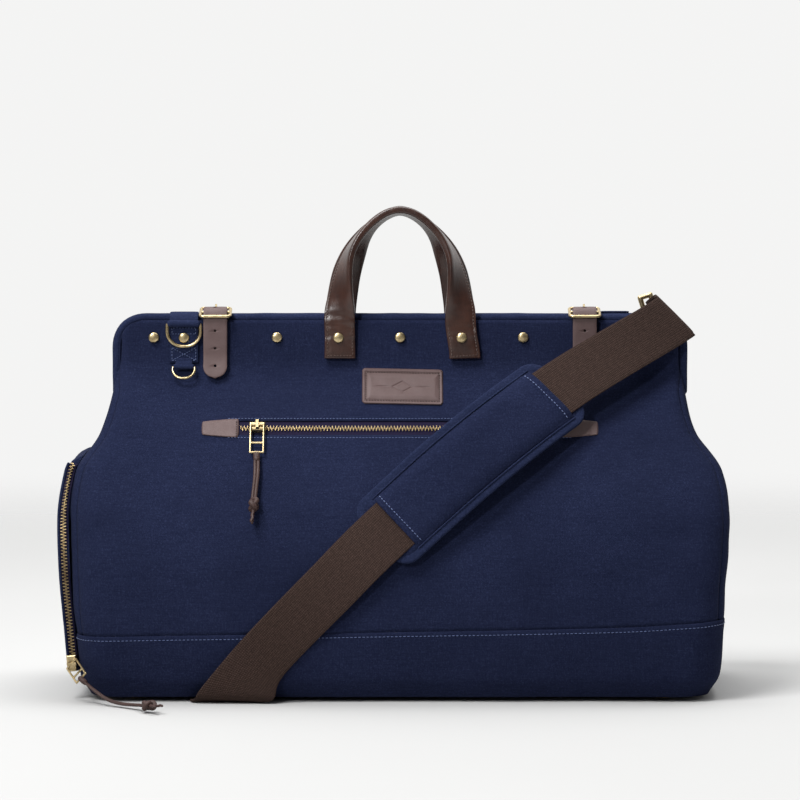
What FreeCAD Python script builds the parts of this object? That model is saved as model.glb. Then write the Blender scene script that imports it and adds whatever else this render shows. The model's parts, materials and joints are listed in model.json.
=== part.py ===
import FreeCAD, Part
import math
import os
import sys

import Sketcher
from FreeCAD import Placement, Rotation, Vector

# A framed weekender bag: canvas walls on a stiff base, a two-part steel mouth frame that
# hinges at its ends, rolled leather handles, two buckled closing straps, a zipped front
# pocket, a zipped end pocket and a shoulder strap with a pad.
# Millimetres. The origin is on the floor under the middle foot; the front faces -Y, +Z is up.

# ---------------------------------------------------------------- driving dimensions
# The wall's cross-section at each height: height, half width, half depth, corner radius.
WALL_LEVELS = [
    (4, 282, 112, 30),
    (22, 292, 122, 34),
    (65, 296.5, 126, 34),
    (118, 301, 121, 34),
    (165, 303, 106, 32),
    (205, 298, 86, 28),
    (240, 278, 62, 24),
    (273, 267, 35, 18),
    (291, 262, 21, 13),
    (303, 260, 17, 9),
    (342, 259, 15, 8),
]
BASE_LEVELS = range(0, 3)
PANEL_LEVELS = range(2, 11)
LINING_LEVELS = range(0, 7)
FRAME_LEVELS = range(9, 11)  # where the panels stand upright on the steel frame

SIZES = {
    "wall": 3.0,  # canvas with its backing
    "lining_gap": 3.4,
    "lining_skin": 0.8,
    "seam_inset": 6.0,  # how far the side seams stand in from the end walls
    "mouth_corner": 22.0,
    "gusset_skin": 0.8,
    "gusset_reach": 36.0,
    "rear_fold_low": 261.0,  # the rear wall is soft between these two heights
    "rear_fold_high": 284.0,
    "end_wall_top": 275.0,
    "hinge_z": 282.0,
    "panel_reach": 9.5,  # the frame panels' side flanges stop this far from the middle
    "bar_half_w": 252.0,
    "bar_face": 20.0,
    "bar_top": 336.0,
    "bar_foot": 275.0,
    "bar_skin": 2.5,
    "bar_y": 9.2,
    "ear_radius": 7.0,
    "ear_skin": 2.5,
    "ear_gap": 0.5,
    "pin_radius": 2.9,
    "pin_play": 0.06,
    "pin_head": 4.5,
    "rim_radius": 4.4,
    "rim_half_w": 262.6,
    "rim_z": 343.2,
    "rim_y": 5.2,
    "rim_corner": 25.0,
    "rim_foot": 296.0,
    "rivet_pitch": 57.0,
    "rivet_z": 326.0,
    "rivet_head": 4.8,
    "rivet_dome": 2.0,
    "rivet_shank": 1.9,
    "rivet_grip": 8.4,
    "face_y": 17.3,  # just outside the upright part of the front panel
    "handle_x": 55.5,
    "handle_w": 28.5,
    "handle_skin": 5.0,
    "tab_foot": 307.0,
    "tab_height": 32.0,
    "closure_x": 171.0,
    "closure_w": 22.0,
    "closure_skin": 2.2,
    "buckle_half_w": 13.6,
    "buckle_half_len": 12.8,
    "buckle_wire": 1.5,
    "buckle_bar": 1.3,
    "buckle_y": -11.5,
    "buckle_z": 349.0,
    "buckle_tilt": 14.5,
    "prong_wire": 1.0,
    "ring_tab_x": 200.0,
    "ring_tab_w": 27.0,
    "ring_tab_foot": 302.0,
    "ring_tab_skin": 2.4,
    "ring_y": 21.8,
    "ring_z": 339.0,
    "ring_wire": 1.5,
    "ring_half_w": 15.4,
    "ring_drop": 21.0,
    "ring_bore": 1.7,
    "small_ring_y": 24.6,
    "small_ring_z": 299.5,
    "small_ring_wire": 1.1,
    "small_ring_half_w": 10.2,
    "small_ring_drop": 12.4,
    "small_ring_bore": 1.2,
    "small_tab_w": 16.0,
    "patch_w": 70.0,
    "patch_tall": 38.0,
    "patch_skin": 2.4,
    "patch_z": 278.5,
    "zip_z": 242.5,
    "zip_half_len": 152.0,
    "zip_slot": 19.0,
    "zip_tape_skin": 1.0,
    "zip_tape_depth": 2.4,
    "zip_chain_w": 6.2,
    "zip_chain_skin": 1.8,
    "zip_chain_rise": 3.2,
    "zip_tab_len": 34.0,
    "zip_tab_tall": 23.0,
    "slider_x": -131.0,
    "slider_len": 15.0,
    "slider_w": 9.0,
    "slider_rise": 5.0,
    "pull_half_w": 6.0,
    "pull_len": 29.0,
    "pull_wire": 0.95,
    "pouch_skin": 3.0,
    "pouch_half_w": 165.0,
    "pouch_low": 98.0,
    "pouch_high": 228.0,
    "board_skin": 4.0,
    "bottom_skin": 2.5,
    "foot_radius": 8.0,
    "foot_x": 240.0,
    "foot_y": 84.0,
    "pocket_half_d": 90.0,
    "pocket_low": 24.0,
    "pocket_high": 218.0,
    "pocket_wall": 8.6,
    "end_zip_out": 6.6,
    "end_slider_z": 32.5,
    "strap_w": 50.0,
    "strap_skin": 2.4,
    "pad_w": 76.0,
    "pad_skin": 7.0,
    "sleeve_w": 62.0,
    "sleeve_skin": 1.6,
    "hook_wire": 2.4,
    "hook_bow": 6.5,
    "hook_bow_wire": 1.6,
}

doc = FreeCAD.newDocument("weekender_bag")
sheet = doc.addObject("Spreadsheet::Sheet", "dims")


class Size:
    """A length that is both a number and an expression on the sheet's cells."""

    def __init__(self, text, value):
        self.text = text
        self.value = value

    def __add__(self, other):
        other = size_of(other)
        return Size(f"({self.text} + {other.text})", self.value + other.value)

    def __sub__(self, other):
        other = size_of(other)
        return Size(f"({self.text} - {other.text})", self.value - other.value)

    def __mul__(self, other):
        other = size_of(other)
        return Size(f"({self.text} * {other.text})", self.value * other.value)

    def __neg__(self):
        return Size(f"(-{self.text})", -self.value)


def size_of(thing):
    if isinstance(thing, Size):
        return thing
    return Size(f"{thing:.6g}" if thing >= 0 else f"(-{-thing:.6g})", float(thing))


def fill_sheet():
    """Writes every driving dimension to its own cell, with an alias, and returns them by name."""
    named = dict(SIZES)
    for i, level in enumerate(WALL_LEVELS):
        for word, number in zip(("level_z", "half_w", "half_d", "corner"), level):
            named[f"{word}_{i}_"] = number
    cells = {}
    for row, (alias, number) in enumerate(named.items(), start=1):
        sheet.set(f"A{row}", alias)
        sheet.set(f"B{row}", str(number))
        sheet.setAlias(f"B{row}", alias)
        cells[alias] = Size(f"dims.{alias}", float(number))
    doc.recompute()
    return cells


D = fill_sheet()


def level(i):
    """The four sizes of one wall level: height, half width, half depth, corner radius."""
    return [D[f"{word}_{i}_"] for word in ("level_z", "half_w", "half_d", "corner")]


def half_depth(z):
    """The wall's half depth at a height, from the straight runs between levels."""
    for low, high in zip(WALL_LEVELS, WALL_LEVELS[1:]):
        if z <= high[0]:
            share = (z - low[0]) / (high[0] - low[0])
            return low[2] + share * (high[2] - low[2])
    return WALL_LEVELS[-1][2]


def half_width(z):
    """The wall's half width at a height."""
    for low, high in zip(WALL_LEVELS, WALL_LEVELS[1:]):
        if z <= high[0]:
            share = (z - low[0]) / (high[0] - low[0])
            return low[1] + share * (high[1] - low[1])
    return WALL_LEVELS[-1][1]


def front_lean(z):
    """How far the front wall leans back from upright at a height, in degrees."""
    for low, high in zip(WALL_LEVELS, WALL_LEVELS[1:]):
        if z <= high[0]:
            return math.degrees(math.atan2(low[2] - high[2], high[0] - low[0]))
    return 0.0


# ---------------------------------------------------------------- helpers
def bind(thing, **expressions):
    """Binds properties to the sheet; a double underscore stands for a dot."""
    for name, size in expressions.items():
        thing.setExpression(name.replace("__", "."), size_of(size).text)
    return thing


def place(thing, x=0, y=0, z=0, axis=None, angle=0):
    """Gives a piece its Placement, bound to the sheet where a coordinate is a cell."""
    x, y, z = size_of(x), size_of(y), size_of(z)
    turn = Rotation(axis, size_of(angle).value) if axis else Rotation()
    thing.Placement = Placement(Vector(x.value, y.value, z.value), turn)
    bind(thing, Placement__Base__x=x, Placement__Base__y=y, Placement__Base__z=z)
    return thing


def box(name, dx, dy, dz, x=0, y=0, z=0):
    thing = doc.addObject("Part::Box", name)
    thing.Length, thing.Width, thing.Height = (size_of(v).value for v in (dx, dy, dz))
    bind(thing, Length=dx, Width=dy, Height=dz)
    return place(thing, x, y, z)


def rod(name, radius, length, x=0, y=0, z=0, axis=None, angle=0):
    """A cylinder along +Z, turned by axis and angle."""
    thing = doc.addObject("Part::Cylinder", name)
    thing.Radius, thing.Height = size_of(radius).value, size_of(length).value
    bind(thing, Radius=radius, Height=length)
    return place(thing, x, y, z, axis, angle)


def rod_x(name, radius, length, x, y, z):
    """A cylinder along +X from x."""
    return rod(name, radius, length, x, y, z, Vector(0, 1, 0), 90)


def joined(label, *things):
    thing = doc.addObject("Part::MultiFuse", label)
    thing.Shapes = list(things)
    return thing


def cut(label, base, *tools):
    """base without the tools."""
    thing = doc.addObject("Part::Cut", label)
    thing.Base = base
    thing.Tool = tools[0] if len(tools) == 1 else joined(label + "_tools", *tools)
    return thing


def common(label, *things):
    thing = doc.addObject("Part::MultiCommon", label)
    thing.Shapes = list(things)
    return thing


def group(label, *things):
    """One node made of separate solids."""
    thing = doc.addObject("Part::Compound", label)
    thing.Links = list(things)
    return thing


def shape_node(label, shape):
    """A piece whose shape is worked out below."""
    thing = doc.addObject("Part::Feature", label)
    thing.Shape = shape
    return thing


def body_of(label):
    return doc.addObject("PartDesign::Body", label)


def plane_of(body, role):
    return next(f for f in body.Origin.OriginFeatures if f.Role == role)


def sketch_on(body, name, role="XY_Plane", offset=0):
    """A sketch on one of the body's own origin planes, moved along its normal by offset."""
    sketch = body.newObject("Sketcher::SketchObject", name)
    sketch.AttachmentSupport = [(plane_of(body, role), "")]
    sketch.MapMode = "FlatFace"
    offset = size_of(offset)
    sketch.AttachmentOffset = Placement(Vector(0, 0, offset.value), Rotation())
    sketch.setExpression("AttachmentOffset.Base.z", offset.text)
    return sketch


def rounded_rectangle(sketch, half_w, half_h, corner):
    """Draws a rounded rectangle about the sketch's origin, driven by three sizes."""
    w, h, r = (size_of(v).value for v in (half_w, half_h, corner))
    ends = [(-w + r, -h, w - r, -h), (w, -h + r, w, h - r)]
    ends += [(w - r, h, -w + r, h), (-w, h - r, -w, -h + r)]
    for x0, y0, x1, y1 in ends:
        sketch.addGeometry(Part.LineSegment(Vector(x0, y0, 0), Vector(x1, y1, 0)))
    centres = [(w - r, -h + r, -90), (w - r, h - r, 0), (-w + r, h - r, 90), (-w + r, -h + r, 180)]
    for cx, cy, start in centres:
        circle = Part.Circle(Vector(cx, cy, 0), Vector(0, 0, 1), r)
        sketch.addGeometry(Part.ArcOfCircle(circle, math.radians(start), math.radians(start + 90)))
    for i in range(4):
        sketch.addConstraint(Sketcher.Constraint("Tangent", i, 2, 4 + i, 1))
        sketch.addConstraint(Sketcher.Constraint("Tangent", 4 + i, 2, (i + 1) % 4, 1))
        sketch.addConstraint(Sketcher.Constraint("Vertical" if i % 2 else "Horizontal", i))
    for i in range(3):
        sketch.addConstraint(Sketcher.Constraint("Equal", 4 + i, 5 + i))
    driving = [
        ("Radius", (4, r), corner),
        ("DistanceX", (-1, 1, 1, 1, w), half_w),
        ("DistanceX", (3, 1, -1, 1, w), half_w),
        ("DistanceY", (-1, 1, 2, 1, h), half_h),
        ("DistanceY", (0, 1, -1, 1, h), half_h),
    ]
    for kind, where, size in driving:
        index = sketch.addConstraint(Sketcher.Constraint(kind, *where))
        sketch.setExpression(f"Constraints[{index}]", size_of(size).text)
    return sketch


def polygon(sketch, points):
    """Draws a closed polygon whose corners are given as pairs of sizes."""
    sizes = [(size_of(x), size_of(y)) for x, y in points]
    count = len(sizes)
    for i, (x, y) in enumerate(sizes):
        nx, ny = sizes[(i + 1) % count]
        sketch.addGeometry(Part.LineSegment(Vector(x.value, y.value, 0), Vector(nx.value, ny.value, 0)))
    for i, (x, y) in enumerate(sizes):
        sketch.addConstraint(Sketcher.Constraint("Coincident", i, 2, (i + 1) % count, 1))
        for kind, size in (("DistanceX", x), ("DistanceY", y)):
            if abs(size.value) < 1e-9:
                word = "Vertical" if kind == "DistanceX" else "Horizontal"
                sketch.addConstraint(Sketcher.Constraint(word, -1, 1, i, 1))
                continue
            index = sketch.addConstraint(Sketcher.Constraint(kind, -1, 1, i, 1, size.value))
            sketch.setExpression(f"Constraints[{index}]", size.text)
    return sketch


def pad(body, sketch, length, midplane=False):
    thing = body.newObject("PartDesign::Pad", sketch.Name + "_pad")
    thing.Profile = sketch
    thing.Length = size_of(length).value
    thing.setExpression("Length", size_of(length).text)
    if midplane:
        thing.SideType = "Symmetric"
    return thing


def round_edges(body, feature, radius, chosen):
    """Rounds the edges of a feature that chosen(edge) picks."""
    doc.recompute()
    names = [f"Edge{i + 1}" for i, edge in enumerate(feature.Shape.Edges) if chosen(edge)]
    fillet = body.newObject("PartDesign::Fillet", feature.Name + "_round")
    fillet.Base = (feature, names)
    fillet.Radius = size_of(radius).value
    fillet.setExpression("Radius", size_of(radius).text)
    return fillet


def edge_along(direction):
    """Tells the straight edges that run along a direction."""

    def chosen(edge):
        ends = [v.Point for v in edge.Vertexes]
        if len(ends) != 2 or edge.Curve.TypeId != "Part::GeomLine":
            return False
        run = (ends[1] - ends[0]).normalize()
        return abs(run.dot(Vector(*direction))) > 0.999

    return chosen


def loop_path(body, label, half_w, top, bottom, top_corner, bottom_corner):
    """A closed path on XZ, wide as half_w each way, that starts at the middle of its top."""
    path = sketch_on(body, label + "_path", "XZ_Plane")
    w, high, low, r, q = (size_of(v).value for v in (half_w, top, bottom, top_corner, bottom_corner))

    def line(x0, z0, x1, z1):
        path.addGeometry(Part.LineSegment(Vector(x0, z0, 0), Vector(x1, z1, 0)))

    def arc(x, z, radius, start):
        circle = Part.Circle(Vector(x, z, 0), Vector(0, 0, 1), radius)
        path.addGeometry(Part.ArcOfCircle(circle, math.radians(start), math.radians(start + 90)))

    line(0, high, w - r, high)
    arc(w - r, high - r, r, 0)
    line(w, high - r, w, low + q)
    arc(w - q, low + q, q, 270)
    line(w - q, low, -w + q, low)
    arc(-w + q, low + q, q, 180)
    line(-w, low + q, -w, high - r)
    arc(-w + r, high - r, r, 90)
    line(-w + r, high, 0, high)
    for arc_index in (1, 3, 5, 7):
        path.addConstraint(Sketcher.Constraint("Tangent", arc_index - 1, 2, arc_index, 2))
        path.addConstraint(Sketcher.Constraint("Tangent", arc_index, 1, arc_index + 1, 1))
    path.addConstraint(Sketcher.Constraint("Coincident", 8, 2, 0, 1))
    path.addConstraint(Sketcher.Constraint("PointOnObject", 0, 1, -2))
    for index in (0, 4, 8):
        path.addConstraint(Sketcher.Constraint("Horizontal", index))
    for index in (2, 6):
        path.addConstraint(Sketcher.Constraint("Vertical", index))
    path.addConstraint(Sketcher.Constraint("Equal", 1, 7))
    path.addConstraint(Sketcher.Constraint("Equal", 3, 5))
    drive(path, "Radius", (1, r), top_corner)
    drive(path, "Radius", (3, q), bottom_corner)
    drive(path, "DistanceX", (-1, 1, 2, 1, w), half_w)
    drive(path, "DistanceX", (6, 1, -1, 1, w), half_w)
    drive_z(path, 0, high, top)
    drive_z(path, 4, low, bottom)
    return path


def drive(sketch, kind, where, size):
    """Adds one driving constraint bound to the sheet."""
    index = sketch.addConstraint(Sketcher.Constraint(kind, *where))
    sketch.setExpression(f"Constraints[{index}]", size_of(size).text)


def drive_z(sketch, line, value, size):
    """Holds a line's start at a height, which may be zero or below the axis."""
    if abs(value) < 1e-9:
        sketch.addConstraint(Sketcher.Constraint("PointOnObject", line, 1, -1))
    elif value > 0:
        drive(sketch, "DistanceY", (-1, 1, line, 1, value), size)
    else:
        drive(sketch, "DistanceY", (line, 1, -1, 1, -value), -size_of(size))


def wire_loop(label, radius, half_w, top, bottom, top_corner, bottom_corner):
    """A wire bent along a closed path on XZ."""
    body = body_of(label)
    path = loop_path(body, label, half_w, top, bottom, top_corner, bottom_corner)
    height = size_of(top).value
    profile = sketch_on(body, label + "_wire", "YZ_Plane")
    profile.addGeometry(Part.Circle(Vector(0, height, 0), Vector(0, 0, 1), size_of(radius).value))
    drive(profile, "Radius", (0, size_of(radius).value), radius)
    profile.addConstraint(Sketcher.Constraint("PointOnObject", 0, 3, -2))
    if abs(height) < 1e-9:
        profile.addConstraint(Sketcher.Constraint("PointOnObject", 0, 3, -1))
    else:
        drive(profile, "DistanceY", (-1, 1, 0, 3, height), top)
    doc.recompute()
    pipe = body.newObject("PartDesign::AdditivePipe", label + "_pipe")
    pipe.Profile = profile
    pipe.Spine = (path, [f"Edge{i + 1}" for i in range(len(path.Geometry))])
    pipe.Mode = "Frenet"
    return body


def tube_along(points, radius):
    """A round cord's solid: straight runs joined by arcs as large as both runs allow."""
    points = [Vector(*p) for p in points]
    edges, start, radii = [], points[0], []
    for before, here, after in zip(points, points[1:], points[2:]):
        back, ahead = before - here, after - here
        half_turn = (math.pi - back.getAngle(ahead)) / 2
        trim = 0.45 * min(back.Length, ahead.Length)
        radii.append(trim / math.tan(half_turn))
        first = here + Vector(back).normalize() * trim
        last = here + Vector(ahead).normalize() * trim
        inward = (Vector(back).normalize() + Vector(ahead).normalize()).normalize()
        centre = here + inward * math.hypot(radii[-1], trim)
        middle = centre - inward * radii[-1]
        edges += [Part.LineSegment(start, first).toShape(), Part.Arc(first, middle, last).toShape()]
        start = last
    edges.append(Part.LineSegment(start, points[-1]).toShape())
    path = Part.Wire(edges)
    circle = Part.Circle(points[0], points[1] - points[0], radius)
    solid = path.makePipeShell([Part.Wire(circle.toShape())], True, False, 1)
    expected = math.pi * radius**2 * path.Length
    ratio = solid.Volume / expected
    print(f"cord: length {path.Length:.1f}, least radius {min(radii):.1f}, volume ratio {ratio:.4f}")
    return solid


def ribbon(points, skin, width, x_middle):
    """A strap bent along points in the YZ plane: its middle line is the points' polyline."""
    line = [Vector(0, y, z) for y, z in points]
    sides = [[], []]
    for i, here in enumerate(line):
        near = line[max(i - 1, 0) : i + 2]
        runs = [(b - a).normalize() for a, b in zip(near, near[1:])]
        along = Vector()
        for run in runs:
            along += run
        along.normalize()
        reach = skin / 2 / along.dot(runs[0])
        across = Vector(0, -along.z, along.y) * reach
        sides[0].append(here + across)
        sides[1].append(here - across)
    outline = sides[0] + sides[1][::-1]
    face = Part.Face(Part.makePolygon(outline + outline[:1]))
    solid = face.extrude(Vector(width, 0, 0))
    solid.translate(Vector(x_middle - width / 2, 0, 0))
    return solid


def strip(stations, skin, width=None, lift=0):
    """A flat strap through stations of (edge point, edge point), as thick as skin.

    width widens or narrows it about its middle line, and lift moves it off the stations outwards.
    """
    wires = []
    for i, (left, right) in enumerate(stations):
        before, after = stations[max(i - 1, 0)], stations[min(i + 1, len(stations) - 1)]
        run = (after[0] + after[1]) - (before[0] + before[1])
        outward = (right - left).cross(run).normalize()
        middle, across = (left + right) * 0.5 + outward * lift, (right - left) * 0.5
        if width:
            across *= width / 2 / across.Length
        half = outward * (skin / 2)
        ring = [middle - across - half, middle + across - half]
        ring += [middle + across + half, middle - across + half]
        wires.append(Part.makePolygon(ring + ring[:1]))
    return Part.makeLoft(wires, True, True)


def turned(shape):
    """The same shape on the other side of the bag, half a turn about Z."""
    copy = shape.copy()
    copy.rotate(Vector(), Vector(0, 0, 1), 180)
    return copy


def on_front(thing, x, z, off):
    """Lays a piece drawn on XZ, front towards -Y, on the leaning front wall at height z."""
    lean, z = front_lean(size_of(z).value), size_of(z)
    tilt = math.radians(lean)
    y = -half_depth(z.value) - off * math.cos(tilt)
    place(thing, x, y, z.value + off * math.sin(tilt), Vector(1, 0, 0), -lean)
    return thing


# ---------------------------------------------------------------- canvas walls
def loft_of(body, label, levels, inset, kind):
    sections = []
    for i in levels:
        z, half_w, half_d, corner = level(i)
        sketch = sketch_on(body, f"{label}_{i}_{kind[12:15]}", "XY_Plane", z)
        sections.append(rounded_rectangle(sketch, half_w - inset, half_d - inset, corner - inset))
    doc.recompute()
    loft = body.newObject(kind, f"{label}_{kind[12:15]}_loft")
    loft.Profile = sections[0]
    loft.Sections = sections[1:]
    loft.Ruled = True
    return loft


def wall_skin(label, levels, inset, skin):
    """A tube of fabric through the wall levels, open at the top and bottom."""
    body = body_of(label)
    loft_of(body, label, levels, inset, "PartDesign::AdditiveLoft")
    loft_of(body, label, levels, size_of(inset) + skin, "PartDesign::SubtractiveLoft")
    return body


def seam_prism(label, turn):
    """All the space in front of (or, turned, behind) the bag between its two side seams."""
    body = body_of(label)
    right = []
    for i in PANEL_LEVELS:
        z, half_w, _, _ = level(i)
        right.append((half_w if i in FRAME_LEVELS else half_w - D["seam_inset"], z))
    left = [(-x, z) for x, z in reversed(right)]
    sketch = polygon(sketch_on(body, label + "_outline", "XZ_Plane", D["panel_reach"]), right + left)
    block = pad(body, sketch, 200)
    top = WALL_LEVELS[-1][0]

    def top_corner(edge):
        low, high = edge.BoundBox.ZMin, edge.BoundBox.ZMax
        return edge_along((0, 1, 0))(edge) and low > top - 0.01 and high < top + 0.01

    round_edges(body, block, D["mouth_corner"], top_corner)
    return place(body, axis=Vector(0, 0, 1), angle=turn)


def canvas_walls():
    walls = wall_skin("wall_tube", PANEL_LEVELS, 0, D["wall"])
    front_space = seam_prism("front_space", 0)
    rear_space = seam_prism("rear_space", 180)
    lowest, top = level(2)[0], level(10)[0]
    low = box("rear_low_space", 700, 300, D["rear_fold_low"] - lowest, -350, 0, lowest)
    high = box("rear_high_space", 700, 300, top - D["rear_fold_high"], -350, 0, D["rear_fold_high"])
    slot = box("zip_slot", D["zip_half_len"] * 2, 20, D["zip_slot"])
    on_front(slot, 0, D["zip_z"], 0)
    shift_along_wall(slot, -SIZES["zip_slot"] / 2, -10, -SIZES["zip_half_len"])
    cut("front_panel", common("front_whole", walls, front_space), slot, RIVET_BORES)
    common("rear_panel", walls, rear_space, low)
    cut("rear_mouth_panel", common("rear_mouth_whole", walls, rear_space, high), RIVET_BORES)
    for side, start in (("left", -350), ("right", 0)):
        space = box(f"{side}_end_space", 350, 300, D["end_wall_top"] - lowest, start, -150, lowest)
        end = common(f"{side}_end_whole", walls, space)
        cut(f"{side}_end_panel", end, front_space, rear_space)
    wall_skin("base_wrap", BASE_LEVELS, 0, D["wall"])
    lining = wall_skin("lining_tube", LINING_LEVELS, D["wall"] + D["lining_gap"], D["lining_skin"])
    floor = box("lining_floor", 700, 300, D["bottom_skin"] + D["board_skin"] + 0.3, -350, -150, level(0)[0])
    cut("lining", lining, floor)


def base_pieces():
    z, half_w, half_d, corner = level(0)
    inset = D["wall"] + 0.05
    for label, skin, start, gap in (
        ("bottom_panel", D["bottom_skin"], z, inset),
        ("base_board", D["board_skin"], z + D["bottom_skin"], inset + 1.5),
    ):
        body = body_of(label)
        sketch = sketch_on(body, label + "_outline", "XY_Plane", start)
        rounded_rectangle(sketch, half_w - gap, half_d - gap, corner - gap)
        pad(body, sketch, skin)
    feet = []
    for i, (sx, sy) in enumerate(((0, 0), (-1, -1), (1, -1), (1, 1), (-1, 1))):
        foot = doc.addObject("Part::Cone", f"foot_{i}")
        foot.Radius1, foot.Radius2, foot.Height = 6.5, SIZES["foot_radius"], 4.0
        bind(foot, Radius1=D["foot_radius"] - 1.5, Radius2=D["foot_radius"], Height=z)
        feet.append(place(foot, D["foot_x"] * sx, D["foot_y"] * sy))
    group("base_feet", *feet)


# ---------------------------------------------------------------- steel mouth frame
def frame_bar(label, half_w, near_side):
    """A flat bar bent to an upside-down U, with an ear for the pivot at each foot.

    near_side is -1 for the front bar and 1 for the rear bar.
    """
    body = body_of(label + "_flat")
    inner, under = half_w - D["bar_face"], D["bar_top"] - D["bar_face"]
    foot = D["bar_foot"]
    right = [(half_w, foot), (half_w, D["bar_top"])]
    left = [(-half_w, D["bar_top"]), (-half_w, foot)]
    left += [(-inner, foot), (-inner, under), (inner, under), (inner, foot)]
    offset = D["bar_y"] if near_side < 0 else -D["bar_y"] - D["bar_skin"]
    sketch = polygon(sketch_on(body, label + "_outline", "XZ_Plane", offset), right + left)
    block = pad(body, sketch, D["bar_skin"])
    top = SIZES["bar_top"]
    round_edges(body, block, 14, lambda e: edge_along((0, 1, 0))(e) and e.BoundBox.ZMin > top - 0.01)
    reach = D["bar_y"] + D["bar_skin"]
    ears, bores = [], []
    for side in (-1, 1):
        x = half_w - D["ear_skin"] if side > 0 else -half_w
        name = f"{label}_ear_{'right' if side > 0 else 'left'}"
        y = -reach if near_side < 0 else size_of(0)
        under_eye = D["hinge_z"] - D["ear_radius"]
        ears.append(box(name, D["ear_skin"], reach, D["ear_radius"] * 2, x, y, under_eye))
        ears.append(rod_x(name + "_eye", D["ear_radius"], D["ear_skin"], x, 0, D["hinge_z"]))
        play = 0.02 if near_side < 0 else D["pin_play"]
        bores.append(rod_x(name + "_bore", D["pin_radius"] + play, 12, x - 5, 0, D["hinge_z"]))
    cut(label, joined(label + "_blank", body, *ears), RIVET_BORES, *bores)


def mouth_frame():
    rear_half_w = D["bar_half_w"] - D["ear_skin"] - D["ear_gap"]
    frame_bar("front_frame_bar", D["bar_half_w"], -1)
    frame_bar("rear_frame_bar", rear_half_w, 1)
    pins = []
    for side, word in ((-1, "left"), (1, "right")):
        spots = []
        out, inside = D["bar_half_w"] + 0.2, rear_half_w - D["ear_skin"] - 0.2
        for name, radius, start, length in (
            ("shank", D["pin_radius"], inside - 2, out - inside + 4),
            ("outer_head", D["pin_head"], out, 2),
            ("inner_head", D["pin_head"], inside - 2, 2),
        ):
            x = start if side > 0 else -start - length
            spots.append(rod_x(f"{word}_pin_{name}", radius, length, x, 0, D["hinge_z"]))
        pins.append(joined(f"{word}_pin", *spots))
    group("frame_pivot_pins", *pins)
    for word, y in (("front", 0.4), ("rear", -D["gusset_skin"] - 0.4)):
        gusset_folds(f"{word}_gusset_folds", y)
    for label, y in (("front_rim", D["rim_y"]), ("rear_rim", -D["rim_y"])):
        rim(label, y)


def gusset_folds(label, offset):
    """One layer of the cloth pleat at each end of the mouth, folded flat between the two bars."""
    pleats = []
    root, low, high = D["bar_half_w"] - 9, D["hinge_z"] + 8, D["bar_top"] - 1
    for word, side in (("left", -1), ("right", 1)):
        body = body_of(f"{label}_{word}")
        corners = [(root * side, low), (root * side, high), ((root - D["gusset_reach"]) * side, high)]
        sketch = polygon(sketch_on(body, f"{label}_{word}_outline", "XZ_Plane", offset), corners)
        pad(body, sketch, D["gusset_skin"])
        pleats.append(body)
    group(label, *pleats)


def rim(label, offset):
    """The padded canvas edge that follows one half of the frame over the top and down both sides."""
    body = body_of(label)
    path = sketch_on(body, label + "_path", "XZ_Plane", offset)
    w, top, foot, r = (SIZES[k] for k in ("rim_half_w", "rim_z", "rim_foot", "rim_corner"))
    lines = [(0, top, w - r, top), (w, top - r, w, foot)]
    for x0, z0, x1, z1 in lines + [(-a, b, -c, d) for a, b, c, d in lines]:
        path.addGeometry(Part.LineSegment(Vector(x0, z0, 0), Vector(x1, z1, 0)))
    for sign, start in ((1, 0), (-1, 90)):
        circle = Part.Circle(Vector(sign * (w - r), top - r, 0), Vector(0, 0, 1), r)
        path.addGeometry(Part.ArcOfCircle(circle, math.radians(start), math.radians(start + 90)))
    for line, end, arc, arc_end in ((0, 2, 4, 2), (1, 1, 4, 1), (2, 2, 5, 1), (3, 1, 5, 2)):
        path.addConstraint(Sketcher.Constraint("Tangent", line, end, arc, arc_end))
    path.addConstraint(Sketcher.Constraint("Coincident", 0, 1, 2, 1))
    for i, word in ((0, "Horizontal"), (2, "Horizontal"), (1, "Vertical"), (3, "Vertical")):
        path.addConstraint(Sketcher.Constraint(word, i))
    path.addConstraint(Sketcher.Constraint("Equal", 4, 5))
    path.addConstraint(Sketcher.Constraint("PointOnObject", 0, 1, -2))
    driving = [
        ("Radius", (4, r), D["rim_corner"]),
        ("DistanceX", (-1, 1, 1, 2, w), D["rim_half_w"]),
        ("DistanceX", (3, 2, -1, 1, w), D["rim_half_w"]),
        ("DistanceY", (-1, 1, 0, 1, top), D["rim_z"]),
        ("DistanceY", (-1, 1, 1, 2, foot), D["rim_foot"]),
        ("DistanceY", (-1, 1, 3, 2, foot), D["rim_foot"]),
    ]
    for kind, where, size in driving:
        index = path.addConstraint(Sketcher.Constraint(kind, *where))
        path.setExpression(f"Constraints[{index}]", size.text)
    profile = sketch_on(body, label + "_section", "XY_Plane", D["rim_foot"])
    centre = Vector(w, -size_of(offset).value, 0)
    profile.addGeometry(Part.Circle(centre, Vector(0, 0, 1), SIZES["rim_radius"]))
    for kind, where, size in (
        ("Radius", (0, SIZES["rim_radius"]), D["rim_radius"]),
        ("DistanceX", (-1, 1, 0, 3, w), D["rim_half_w"]),
        ("DistanceY", (-1, 1, 0, 3, -size_of(offset).value), -size_of(offset)),
    ):
        index = profile.addConstraint(Sketcher.Constraint(kind, *where))
        profile.setExpression(f"Constraints[{index}]", size.text)
    doc.recompute()
    pipe = body.newObject("PartDesign::AdditivePipe", label + "_pipe")
    pipe.Profile = profile
    pipe.Spine = (path, [f"Edge{i + 1}" for i in range(len(path.Geometry))])
    pipe.Mode = "Frenet"
    pipe.Transition = "Transformed"


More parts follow.
